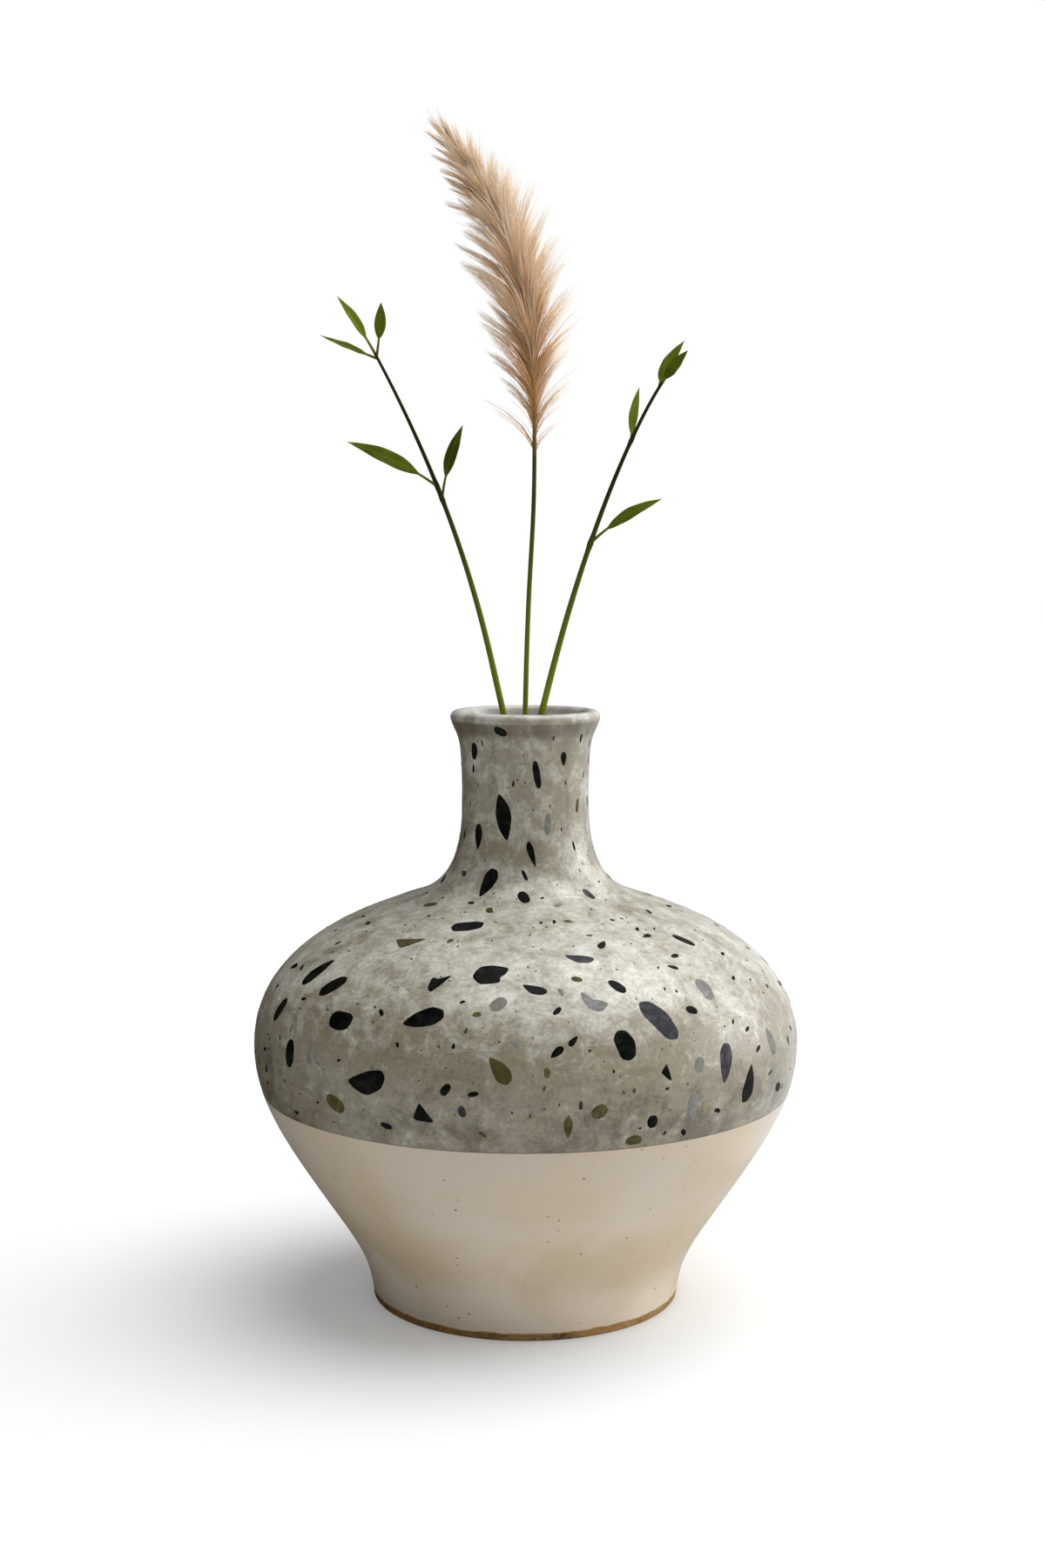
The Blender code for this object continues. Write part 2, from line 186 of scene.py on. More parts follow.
LEFT_LEAVES = (
    Leaf("left_leaf_low", 0.0634, (-0.0110, -0.0030, 0.0080), (-0.0254, -0.0070, 0.0124),
         0.0068, 0.0052, (0.25, -0.85, 0.55), 14, 0.40),
    Leaf("left_leaf_inner", 0.0598, (0.0012, 0.0035, 0.0110), (0.0060, 0.0040, 0.0214),
         0.0066, 0.0037, (-0.30, -0.90, 0.15), 18, 0.32),
    Leaf("left_leaf_right", 0.1010, (0.0010, 0.0030, 0.0085), (0.0011, 0.0040, 0.0160),
         0.0052, 0.0034, (0.15, -1.00, 0.10), 12, 0.45),
    Leaf("left_leaf_top", 0.1020, (-0.0048, 0.0006, 0.0086), (-0.0106, -0.0030, 0.0160),
         0.0048, 0.0030, (0.45, -0.85, 0.25), 32, 0.70),
    Leaf("left_leaf_outer", 0.1004, (-0.0070, 0.0014, 0.0028), (-0.0168, 0.0020, 0.0069),
         0.0037, 0.0026, (0.15, -0.70, 0.75), 26, 0.50),
)
RIGHT_LEAVES = (
    Leaf("right_leaf_low", 0.0468, (0.0080, -0.0036, 0.0078), (0.0188, -0.0060, 0.0117),
         0.0060, 0.0038, (-0.20, -0.80, 0.60), 16, 0.50),
    Leaf("right_leaf_mid", 0.0742, (0.0004, 0.0030, 0.0070), (0.0022, 0.0040, 0.0142),
         0.0015, 0.0026, (-0.35, -0.90, 0.10), 22, 0.85),
    Leaf("right_leaf_front", 0.0892, (0.0026, -0.0010, 0.0040), (0.0065, -0.0030, 0.0081),
         0.0012, 0.0036, (-0.45, -0.85, 0.35), 16, 0.45),
    Leaf("right_leaf_back", 0.0880, (0.0012, 0.0032, 0.0058), (0.0068, 0.0034, 0.0124),
         0.0016, 0.0036, (-0.40, -0.90, 0.20), 16, 0.55),
)
LEAF_STATIONS = 56
LEAF_COLUMNS = 16
LEAF_STALK_RADIUS = 0.00042
LEAF_WIDEST = 0.42
LEAF_FULLNESS = 0.9

# Plume: the grass head's spine beyond the stem's tip, and its tufts
PLUME_REACH = Vector((-0.0276, 0.0044, 0.0935))
PLUME_HEADING = Vector((-0.64, 0.04, 0.77))
PLUME_PULLS = (0.46, 0.41)


class Chip(NamedTuple):
    """A stone chip: bearing in degrees, height, length, breadth in mm, tilt, shape and tone."""

    bearing: float
    height: float
    long: float
    broad: float
    tilt: float
    shape: str
    tone: str


# The chips that stand out on the front, listed from the lip down
# The grey slate and ash tones of the front chips on the right are partly grey stones and partly a painted
# sheen on them
FRONT_CHIPS = (
    Chip(-110, 164, 4, 2.5, -30, "oval", "basalt"),
    Chip(-140, 158, 5, 2.5, 80, "oval", "basalt"),
    Chip(-55, 156, 4, 2, -85, "drop", "basalt"),
    Chip(-80, 152, 8, 2, -80, "oval", "basalt"),
    Chip(-110, 140, 13, 5, -80, "lozenge", "basalt"),
    Chip(-70, 138, 6, 2, 85, "oval", "ash"),
    Chip(-135, 134, 7, 3, -85, "drop", "basalt"),
    Chip(-85, 130, 7, 2, -75, "drop", "basalt"),
    Chip(-117, 122, 9, 4.5, 260, "drop", "basalt"),
    Chip(-91, 119, 5, 3, -65, "oval", "basalt"),
    Chip(-113, 113, 9, 5, 15, "block", "basalt"),
    Chip(-128, 109, 9, 4.5, 15, "wedge", "olive"),
    Chip(-35, 108, 7, 3, -60, "oval", "basalt"),
    Chip(-75, 107, 8, 3.5, -20, "boat", "slate"),
    Chip(-99, 104, 9, 7, 5, "notched", "basalt"),
    Chip(-111, 102, 7, 5, 30, "fin", "basalt"),
    Chip(-88, 101, 6.5, 3, -25, "boat", "basalt"),
    Chip(-68, 101, 5.5, 3, -50, "oval", "basalt"),
    Chip(-150, 100, 11, 5.5, 65, "drop", "basalt"),
    Chip(-140, 98, 9.5, 4.5, 45, "oval", "basalt"),
    Chip(-96, 98, 5, 3.5, 45, "oval", "ash"),
    Chip(-75, 98, 7.5, 4.5, -25, "bitten", "ash"),
    Chip(-45, 98, 7, 5, -80, "shield", "ash"),
    Chip(-112, 94, 11, 5.5, 200, "drop", "basalt"),
    Chip(-61, 93, 13, 6.5, -50, "shield", "slate"),
    Chip(-132, 91, 8, 5.5, -5, "block", "basalt"),
    Chip(-155, 89, 7.5, 4, 70, "oval", "basalt"),
    Chip(-70, 88, 8, 6, -65, "shield", "basalt"),
    Chip(-95, 83, 8, 4.5, 130, "drop", "olive"),
    Chip(-30, 82, 8, 4.5, 110, "drop", "ash"),
    Chip(-54, 81, 4.5, 3, 65, "oval", "ash"),
    Chip(-145, 80, 7.5, 4.5, -80, "oval", "basalt"),
    Chip(-62, 80, 4.5, 2.5, -75, "wedge", "basalt"),
    Chip(-47, 80, 10, 5, 255, "drop", "slate"),
    Chip(-122, 77, 12, 6.5, 10, "boat", "basalt"),
    Chip(-40, 73, 10, 5, 75, "drop", "basalt"),
    Chip(-76, 72, 4.5, 3.5, 35, "oval", "olive"),
    Chip(-110, 70, 6, 4.5, -50, "wedge", "basalt"),
    Chip(-130, 70, 7, 4, -20, "oval", "olive"),
    Chip(-56, 70, 7, 3.5, 270, "drop", "ash"),
    Chip(-82, 68, 5.5, 2.5, 270, "drop", "olive"),
    Chip(-65, 68, 3.5, 3, -80, "oval", "basalt"),
)
# Corner points of the chip shapes, along and across, before their corners are worn round
CHIP_SHAPES = {
    "oval": ((1.0, 0.15), (0.65, 0.85), (-0.2, 1.0), (-0.85, 0.65), (-1.0, -0.25), (-0.55, -0.9),
             (0.25, -1.0), (0.85, -0.65)),
    "block": ((1.0, 0.6), (0.55, 1.0), (-0.7, 0.85), (-1.0, 0.1), (-0.75, -0.9), (0.2, -1.0),
              (0.95, -0.55)),
    "drop": ((1.1, 0.05), (0.35, 0.72), (-0.45, 1.0), (-1.0, 0.5), (-1.0, -0.4), (-0.5, -1.0),
             (0.35, -0.72)),
    "shield": ((1.0, -0.3), (0.9, 0.35), (0.1, 1.0), (-0.75, 0.85), (-1.05, 0.1), (-0.7, -0.65),
               (0.65, -1.0)),
    "boat": ((-1.1, 0.35), (0.1, 0.95), (0.85, 1.0), (1.0, 0.3), (0.7, -0.55), (-0.05, -1.0),
             (-0.65, -0.45)),
    "wedge": ((1.15, 0.75), (-0.35, 0.85), (-1.05, 0.8), (-0.95, 0.4), (-0.45, -1.0), (-0.1, -0.85)),
    "fin": ((1.1, 0.45), (0.0, 0.45), (-0.4, 1.05), (-1.0, -0.3), (-0.85, -1.0), (0.0, -0.5)),
    "lozenge": ((1.1, 0.1), (0.1, 1.0), (-0.45, 0.85), (-1.1, -0.1), (-0.2, -0.9), (0.5, -0.7)),
    "notched": ((-1.05, -0.1), (-0.6, 0.9), (0.1, 1.0), (1.05, 0.7), (0.85, 0.0), (0.55, -0.3),
                (0.65, -0.85), (-0.55, -1.0)),
    "bitten": ((-1.05, 0.95), (-0.4, 0.75), (-0.1, 0.3), (0.3, 0.65), (1.05, 0.5), (0.85, -0.5),
               (0.5, -1.0), (-0.2, -0.85), (-0.8, -0.1)),
}
CHIP_LIFT = 0.00005
CHIP_DEPTH = 0.00035
CHIP_TONES = ("basalt", "slate", "olive", "ash")
# Chips above this height, in mm, lie along the neck
NECK_CHIP_HEIGHT = 124


class VaseSettings(bpy.types.PropertyGroup):
    """Sizes and glazes of the vase."""

    belly_radius: length("Belly radius", "Greatest radius of the vase", UPPER_BOX[1].x)
    height: length("Height", "Height of the lip", UPPER_BOX[1].z)
    seam_height: length("Glaze line", "Height where the two glazes meet", UPPER_BOX[0].z)
    foot_height: length("Foot height", "Height of the bare foot band", FOOT_BOX[1].z)
    wall: length("Wall", "Thickness of the wall and of the lip", 0.0037)
    floor: length("Floor", "Height of the inside floor", 0.0072)
    belly_height: length("Belly height", "Height of the greatest radius", BELLY_HEIGHT)
    unevenness: length("Unevenness", "How far the hand-turned wall strays", 0.00012)
    scattered_chips: how_many("Scattered chips", "Chips placed by chance", 80)
    small_chips: how_many("Small chips", "Lesser chips of the front, placed by chance", 60)
    flecks: how_many("Flecks", "Small chips placed by chance", 330)
    stone: colour("Stone", "Body of the upper glaze", "#8C846F")
    # Pale stone also takes the painted sheen on the shoulder, and brown stone the painted shade above the
    # glaze line and the painted shadow under the lip's roll
    stone_pale: colour("Pale stone", "Clouds in the upper glaze", "#C6C4B8")
    stone_brown: colour("Brown stone", "Streaks in the upper glaze", "#5C513C")
    lining: colour("Lining", "Glaze of the lip's top and the inside", "#CFCDC8")
    cream: colour("Cream", "Body of the lower glaze", "#CABDAC")
    cream_painted_light: colour("Cream lit low", "Painted light: the lower glaze made lighter towards the foot", "#E8DAC7")
    # Painted light: a lighter cream towards the foot
    cream_warm: colour("Warm cream", "Where the lower glaze runs thin", "#CDBA97")
    speck: colour("Speck", "Iron specks in the lower glaze", "#5A4634")
    clay: colour("Bare clay", "Unglazed foot", "#A07C44")
    basalt: colour("Basalt", "Black chips", "#040503")
    slate: colour("Slate", "Dark grey chips", "#353439")
    olive: colour("Olive", "Olive-brown chips", "#4A4328")
    ash: colour("Ash", "Grey chips", "#77766F")


class PlantSettings(bpy.types.PropertyGroup):
    """Sizes and colours of the stems, leaves and plume."""

    strand_radius: length("Strand radius", "Radius of a plume hair at its root", 0.00011)
    tufts: how_many("Tufts", "Tufts along the plume", 140)
    tuft_strands: how_many("Strands", "Hairs in each tuft", 40)
    down_hairs: how_many("Down", "Short hairs that fill the plume", 900)
    stray_hairs: how_many("Stray hairs", "Single long hairs that stand off it", 60)
    stem_low: colour("Stem at the mouth", "Fresh end of the stems", "#7A8120")
    stem_high: colour("Stem at the top", "Dark end of the sprigs", "#282D10")
    straw: colour("Straw", "Grass stem below the plume", "#3E4517")
    leaf: colour("Leaf", "Upper face of the leaves", "#3E480A")
    leaf_light: colour("Young leaf", "Light leaves and ribs", "#7E8C26")
    leaf_dry: colour("Dry leaf", "Yellow tips", "#96861E")
    stalk_red: colour("Leaf stalk", "Reddish stalks", "#5A4224")
    plume_root: colour("Plume root", "Shaded inner hairs", "#B88850")
    plume_tan: colour("Plume", "Body of the hairs", "#F7C895")
    plume_cream: colour("Plume tip", "Ends of the hairs", "#FDEED6")


class StudioSettings(bpy.types.PropertyGroup):
    """Light, floor and camera."""

    lens: FloatProperty(
        name="Lens", description="Focal length", subtype="DISTANCE_CAMERA", default=49.8
    )
    distance: length("Distance", "Camera distance from the vase axis", 0.6128)
    camera_height: length("Camera height", "Camera height above the floor", 0.2136)
    camera_side: length("Camera side", "Camera shift to the right", -0.00083)
    pitch: degrees("Pitch", "How far the camera looks down", 6.16)
    high_strength: brightness("High light", "Strength of the high light", 2.4)
    low_strength: brightness("Low light", "Strength of the low side light", 1.35)
    middle_strength: brightness("Middle light", "Strength of the light between them", 0.45)
    high_spread: degrees("High spread", "Angle that the high light takes up", 56)
    low_spread: degrees("Low spread", "Angle that the middle and the low light take up", 44)
    fill_left: brightness("Fill on the left", "Strength of the room light from the left", 0.08)
    fill_right: brightness("Fill on the right", "Strength of the room light from the right", 0.66)
    paper_glow: brightness("Paper glow", "Lift of the paper to white where it is seen", 0.20)
    floor: colour("Floor", "Paper that the vase stands on", "#D8DADB")


def feed(node, inputs):
    """Sets a node's inputs to values, or links them from outputs or from nodes' first outputs."""
    for name, value in inputs.items():
        if isinstance(value, bpy.types.Node):
            value = next(output for output in value.outputs if output.enabled)
        if isinstance(value, bpy.types.NodeSocket):
            node.id_data.links.new(value, node.inputs[name])
        else:
            node.inputs[name].default_value = value


def add_node(tree, kind, inputs=None, stops=(), **settings):
    """A shader node with its settings, its inputs and, on a ramp, its stops."""
    made = tree.nodes.new("ShaderNode" + kind)
    for name, value in settings.items():
        setattr(made, name, value)
    feed(made, inputs or {})
    if stops:
        elements = made.color_ramp.elements
        while len(elements) < len(stops):
            elements.new(1.0)
        for element, (position, shade) in zip(elements, stops):
            element.position = position
            element.color = shade
    return made


def new_material(name, **constants):
    """A material with its shader's constants set, what adds a node to it, and its shader."""
    material = bpy.data.materials.new(name)
    material.use_nodes = True
    shader = material.node_tree.nodes["Principled BSDF"]
    feed(shader, {socket.replace("_", " "): value for socket, value in constants.items()})
    return material, partial(add_node, material.node_tree), shader


def per_metre(size_mm):
    """Texture scale whose features are about this many millimetres across."""
    return 1000 / size_mm


def grey(level):
    return (level, level, level, 1.0)


def specks(node, place, cell_mm, largest):
    """Specks in every second cell, their largest radius a share of it, and the cells' chances."""
    cells = node("TexVoronoi", {"Vector": place, "Scale": per_metre(cell_mm)})
    chance = node("SeparateColor", {0: cells.outputs["Color"]})
    size = node(
        "MapRange",
        {"Value": chance.outputs[0], "From Min": 0.50, "From Max": 1.0, "To Min": 0.0, "To Max": largest},
    )
    inside = node("Math", {0: cells.outputs["Distance"], 1: size}, operation="LESS_THAN")
    return inside, chance


def stone_glaze(vase):
    """Satin stone-grey glaze under a clear coat: clouded, with brown drag streaks and grit."""
    material, node, shader = new_material(
        "Satin stone glaze", IOR=1.5, Coat_Weight=0.5, Coat_Roughness=0.30, Coat_IOR=1.5
    )
    place = node("TexCoord").outputs["Object"]
    # Soft clouds of 8 mm that break up into fine mottling
    clouds = node(
        "TexNoise",
        {"Vector": place, "Scale": per_metre(8), "Detail": 9, "Roughness": 0.76, "Distortion": 0.4},
    )
    # Painted light: the glaze is made paler on the shoulder as a painted sheen, less so on the neck, and
    # darker from the glaze line up past the belly as painted shade
    level = node("SeparateXYZ", {0: place})
    neck = node(
        "MapRange",
        {"Value": level.outputs["Z"], "From Min": NECK_BLEND[0], "From Max": NECK_BLEND[1]},
        interpolation_type="SMOOTHSTEP",
    )
    # Painted sheen: paler across the shoulder above the belly
    thin = node(
        "MapRange",
        {"Value": level.outputs["Z"], "From Min": vase.belly_height, "From Max": vase.belly_height + 0.030,
         "To Max": 0.17},
        interpolation_type="SMOOTHSTEP",
    )
    # Painted shade: darker from the glaze line up to just above the belly
    thick = node(
        "MapRange",
        {"Value": level.outputs["Z"], "From Min": vase.seam_height, "From Max": vase.belly_height + 0.015,
         "To Min": -0.12, "To Max": 0.0},
        interpolation_type="SMOOTHSTEP",
    )
    off_neck = node("MapRange", {"Value": neck, "To Min": 1.0, "To Max": 0.45})
    painted_light_shift = node("Math", {0: thin, 1: off_neck, 2: thick}, operation="MULTIPLY_ADD")
    # The clouds, moved towards pale by the painted sheen and towards brown by the painted shade
    depth = node("Math", {0: clouds, 1: painted_light_shift}, operation="ADD")
    body = node(
        "ValToRGB", {"Fac": depth},
        stops=((0.28, vase.stone_brown), (0.45, vase.stone), (0.54, vase.stone), (0.76, vase.stone_pale)),
    )
    # Milky spots of 1 to 4 mm where the glaze lies thick
    spots = node(
        "TexNoise",
        {"Vector": place, "Scale": per_metre(4), "Detail": 4, "Roughness": 0.5, "Distortion": 0.3},
    )
    milk = node(
        "MapRange",
        {"Value": spots, "From Min": 0.57, "From Max": 0.76, "To Max": 0.40},
        interpolation_type="SMOOTHSTEP",
    )
    milky = node("Mix", {0: milk, 6: body, 7: vase.stone_pale}, data_type="RGBA")
    # The brush dragged the wet glaze down the neck and round the shoulder
    drawn = node("Mapping", {"Vector": place, "Scale": (1.0, 1.0, 0.14)})
    down = node(
        "TexNoise",
        {"Vector": drawn, "Scale": per_metre(5), "Detail": 6, "Roughness": 0.62, "Distortion": 0.4},
    )
    laid = node("Mapping", {"Vector": place, "Scale": (0.5, 0.5, 1.6), "Rotation": (0.3, 0.2, 0.0)})
    across = node(
        "TexNoise",
        {"Vector": laid, "Scale": per_metre(6), "Detail": 8, "Roughness": 0.66, "Distortion": 1.0},
    )
    drag = node("Mix", {0: neck, 2: across, 3: down})
    streak = node("MapRange", {"Value": drag, "From Min": 0.50, "From Max": 0.74, "To Max": 0.55})
    streaked = node("Mix", {0: streak, 6: milky, 7: vase.stone_brown}, data_type="RGBA")
    # Fine grit of about half a millimetre, drawn at 1.1 mm so that it shows
    grit = node("TexNoise", {"Vector": place, "Scale": per_metre(1.1), "Detail": 4, "Roughness": 0.65})
    grit_shade = node("ValToRGB", {"Fac": grit}, stops=((0.30, grey(0.26)), (0.68, grey(0.70))))
    gritty = node("Mix", {0: 0.48, 6: streaked, 7: grit_shade}, data_type="RGBA", blend_type="OVERLAY")
    # Specks of up to 0.7 mm
    inside_speck, _ = specks(node, place, 2.2, 0.17)
    speckled = node("Mix", {0: inside_speck, 6: gritty, 7: linear("#3C3424")}, data_type="RGBA")
    # Painted shadow: a brown band under the roll of the lip, stronger where the streaks run; the glaze
    # draws thin and pale on top of the roll
    fold = node(
        "MapRange",
        {"Value": level.outputs["Z"], "From Min": vase.height - 0.0090, "From Max": vase.height - 0.0048},
        interpolation_type="SMOOTHSTEP",
    )
    ledge = node(
        "MapRange",
        {"Value": level.outputs["Z"], "From Min": vase.height - 0.0030, "From Max": vase.height - 0.0022,
         "To Min": 1.0, "To Max": 0.0},
    )
    under = node("Math", {0: fold, 1: ledge}, operation="MULTIPLY")
    amount = node(
        "MapRange",
        {"Value": drag, "From Min": 0.35, "From Max": 0.6, "To Min": 0.60, "To Max": 0.95},
    )
    # Painted shadow under the roll
    pool = node("Math", {0: under, 1: amount}, operation="MULTIPLY")
    roll_shadowed = node("Mix", {0: pool, 6: speckled, 7: vase.stone_brown}, data_type="RGBA")
    roll = node(
        "MapRange",
        {"Value": level.outputs["Z"], "From Min": vase.height - 0.0019, "From Max": vase.height - 0.0004},
    )
    worn_thin = node(
        "MapRange",
        {"Value": clouds, "From Min": 0.38, "From Max": 0.58, "To Min": 0.25, "To Max": 1.0},
    )
    bared = node("Math", {0: roll, 1: worn_thin}, operation="MULTIPLY")
    lipped = node("Mix", {0: bared, 6: roll_shadowed, 7: vase.lining}, data_type="RGBA")
    feed(shader, {"Base Color": lipped})
    rough = node(
        "MapRange",
        {"Value": clouds, "From Min": 0.3, "From Max": 0.7, "To Min": 0.42, "To Max": 0.34},
    )
    feed(shader, {"Roughness": rough})
    swell = node("TexNoise", {"Vector": place, "Scale": per_metre(9), "Detail": 2})
    wave = node("Bump", {"Height": swell, "Strength": 0.12, "Distance": 0.0006})
    fine = node("Bump", {"Height": grit, "Strength": 0.10, "Distance": 0.0001, "Normal": wave})
    feed(shader, {"Normal": fine})
    return material


def lining_glaze(vase):
    """Pale clear glaze over the white slip inside: smooth, faintly clouded."""
    material, node, shader = new_material("Pale lining glaze", IOR=1.5, Roughness=0.25)
    place = node("TexCoord").outputs["Object"]
    clouds = node("TexNoise", {"Vector": place, "Scale": per_metre(10), "Detail": 4, "Roughness": 0.6})
    body = node("ValToRGB", {"Fac": clouds}, stops=((0.35, linear("#ABA6A0")), (0.55, vase.lining)))
    feed(shader, {"Base Color": body})
    return material


def cream_glaze(vase):
    """Glossy cream glaze over an iron-bearing clay: even, warm where thin, finely specked."""
    material, node, shader = new_material("Glossy cream glaze", IOR=1.5)
    place = node("TexCoord").outputs["Object"]
    pool = node(
        "TexNoise",
        {"Vector": place, "Scale": per_metre(32), "Detail": 4, "Roughness": 0.55, "Distortion": 0.4},
    )
    # It is thinnest, and so warmest, where the wall turns in above the foot
    level = node("SeparateXYZ", {0: place})
    away = node("Math", {0: level.outputs["Z"], 1: WAIST_KNOT[1]}, operation="SUBTRACT")
    apart = node("Math", {0: away}, operation="ABSOLUTE")
    waist = node(
        "MapRange",
        {"Value": apart, "From Min": 0.014, "From Max": 0.002, "To Max": 0.16},
        interpolation_type="SMOOTHSTEP",
    )
    drawn = node("Math", {0: pool, 1: waist}, operation="ADD")
    thin = node("MapRange", {"Value": drawn, "From Min": 0.46, "From Max": 0.74, "To Max": 0.75})
    # Painted light: the cream is made lighter from the glaze line down to the foot
    toward_foot = node(
        "MapRange",
        {"Value": level.outputs["Z"], "From Min": vase.seam_height, "From Max": 0.008},
        interpolation_type="SMOOTHSTEP",
    )
    laid = node("Mix", {0: toward_foot, 6: vase.cream, 7: vase.cream_painted_light}, data_type="RGBA")
    body = node("Mix", {0: thin, 6: laid, 7: vase.cream_warm}, data_type="RGBA")
    # Iron specks of up to 0.8 mm, some of them faint
    inside_speck, chance = specks(node, place, 3, 0.14)
    faded = node("MapRange", {"Value": chance.outputs[1], "To Min": 0.35, "To Max": 0.95})
    amount = node("Math", {0: inside_speck, 1: faded}, operation="MULTIPLY")
    specked = node("Mix", {0: amount, 6: body, 7: vase.speck}, data_type="RGBA")
    # The glaze breaks to brown in an uneven line just above the foot
    ragged = node("TexNoise", {"Vector": place, "Scale": per_metre(5), "Detail": 4, "Roughness": 0.6})
    lift = node(
        "MapRange",
        {"Value": ragged, "From Min": 0.3, "From Max": 0.7, "To Min": -0.0003, "To Max": 0.0003},
    )
    line = node("Math", {0: level.outputs["Z"], 1: lift}, operation="ADD")
    bare = node(
        "MapRange",
        {"Value": line, "From Min": 0.0020, "From Max": 0.0024, "To Min": 1.0, "To Max": 0.0},
    )
    broken = node("Mix", {0: bare, 6: specked, 7: vase.clay}, data_type="RGBA")
    feed(shader, {"Base Color": broken})
    rough = node("MapRange", {"Value": pool, "To Min": 0.26, "To Max": 0.36})
    feed(shader, {"Roughness": rough})
    swell = node("TexNoise", {"Vector": place, "Scale": per_metre(14), "Detail": 2})
    wave = node("Bump", {"Height": swell, "Strength": 0.10, "Distance": 0.0006})
    feed(shader, {"Normal": wave})
    return material


def bare_clay(vase):
    """Unglazed stoneware, fired golden brown: dry, with sand grains."""
    material, node, shader = new_material("Bare stoneware", IOR=1.45, Roughness=0.85)
    place = node("TexCoord").outputs["Object"]
    sand = node("TexNoise", {"Vector": place, "Scale": per_metre(1.2), "Detail": 5, "Roughness": 0.7})
    toast = node("TexNoise", {"Vector": place, "Scale": per_metre(14), "Detail": 2})
    mixed = node("Mix", {0: 0.5, 2: sand, 3: toast})
    body = node(
        "ValToRGB", {"Fac": mixed},
        stops=((0.36, linear("#4A3318")), (0.52, vase.clay), (0.66, linear("#B68E52"))),
    )
    feed(shader, {"Base Color": body})
    bump = node("Bump", {"Height": sand, "Strength": 0.4, "Distance": 0.0003})
    feed(shader, {"Normal": bump})
    return material


def chip_stone(name, body, vein):
    """Stone chip under the glaze: nearly even in colour, with a faint cloud and the glaze's gloss."""
    material, node, shader = new_material(name, IOR=1.5, Roughness=0.40, Specular_IOR_Level=0.05)
    place = node("TexCoord").outputs["Object"]
    clouds = node(
        "TexNoise",
        {"Vector": place, "Scale": per_metre(2.5), "Detail": 5, "Roughness": 0.65, "Distortion": 0.6},
    )
    shade = node("ValToRGB", {"Fac": clouds}, stops=((0.45, body), (0.75, vein)))
    feed(shader, {"Base Color": shade})
    return material


def stem_skin(name, low, high, start, end):
    """Smooth green bark: fresh and bright at the mouth, darker towards the top, faintly mottled."""
    material, node, shader = new_material(name, IOR=1.45, Roughness=0.55, Specular_IOR_Level=0.04)
    place = node("TexCoord").outputs["Object"]
    level = node("SeparateXYZ", {0: place})
    climb = node("MapRange", {"Value": level.outputs["Z"], "From Min": start, "From Max": end})
    body = node("Mix", {0: climb, 6: low, 7: high}, data_type="RGBA")
    mottle = node("TexNoise", {"Vector": place, "Scale": per_metre(7), "Detail": 2})
    mottled = node("ValToRGB", {"Fac": mottle}, stops=((0.3, grey(0.38)), (0.7, grey(0.62))))
    shade = node("Mix", {0: 0.25, 6: body, 7: mottled}, data_type="RGBA", blend_type="OVERLAY")
    feed(shader, {"Base Color": shade})
    return material


def leaf_skin(plant):
    """Waxy leaf: deep olive green, a paler midrib and side veins, a dry tip and a reddish stalk."""
    material, node, shader = new_material("Waxy leaf", IOR=1.45, Roughness=0.55, Specular_IOR_Level=0.02)
    blade = node("Attribute", attribute_name="blade")
    parts = node("SeparateXYZ", {0: blade.outputs["Vector"]})
    across, along, tone = parts.outputs
    place = node("TexCoord").outputs["Object"]
    clouds = node("TexNoise", {"Vector": place, "Scale": per_metre(6), "Detail": 3, "Roughness": 0.5})
    age = node("Math", {0: clouds, 1: 0.5, 2: tone}, operation="MULTIPLY_ADD")
    young = node("MapRange", {"Value": age, "From Min": 0.55, "From Max": 1.15})
    body = node("Mix", {0: young, 6: plant.leaf, 7: plant.leaf_light}, data_type="RGBA")
    off_rib = node("Math", {0: across}, operation="ABSOLUTE")
    rib = node(
        "MapRange",
        {"Value": off_rib, "From Min": 0.01, "From Max": 0.09, "To Min": 0.30, "To Max": 0.0},
    )
    ribbed = node("Mix", {0: rib, 6: body, 7: plant.leaf_light}, data_type="RGBA")
    # Side veins about 1.8 mm apart that run up and out from the midrib
    slant = node("Math", {0: off_rib, 1: -0.16, 2: along}, operation="MULTIPLY_ADD")
    beat = node("Math", {0: slant, 1: 75.0}, operation="MULTIPLY")
    vein = node("Math", {0: beat}, operation="SINE")
    veins = node(
        "MapRange",
        {"Value": vein, "From Min": 0.0, "From Max": 1.0, "To Min": 0.0, "To Max": 0.04},
    )
    veined = node("Mix", {0: veins, 6: ribbed, 7: plant.leaf_light}, data_type="RGBA")
    tip = node(
        "MapRange",
        {"Value": along, "From Min": 0.90, "From Max": 1.0, "To Min": 0.0, "To Max": 0.7},
    )
    tipped = node("Mix", {0: tip, 6: veined, 7: plant.leaf_dry}, data_type="RGBA")
    stalk = node(
        "MapRange",
        {"Value": along, "From Min": -0.9, "From Max": 0.05, "To Min": 0.8, "To Max": 0.0},
    )
    stalked = node("Mix", {0: stalk, 6: tipped, 7: plant.stalk_red}, data_type="RGBA")
    feed(shader, {"Base Color": stalked})
    return material


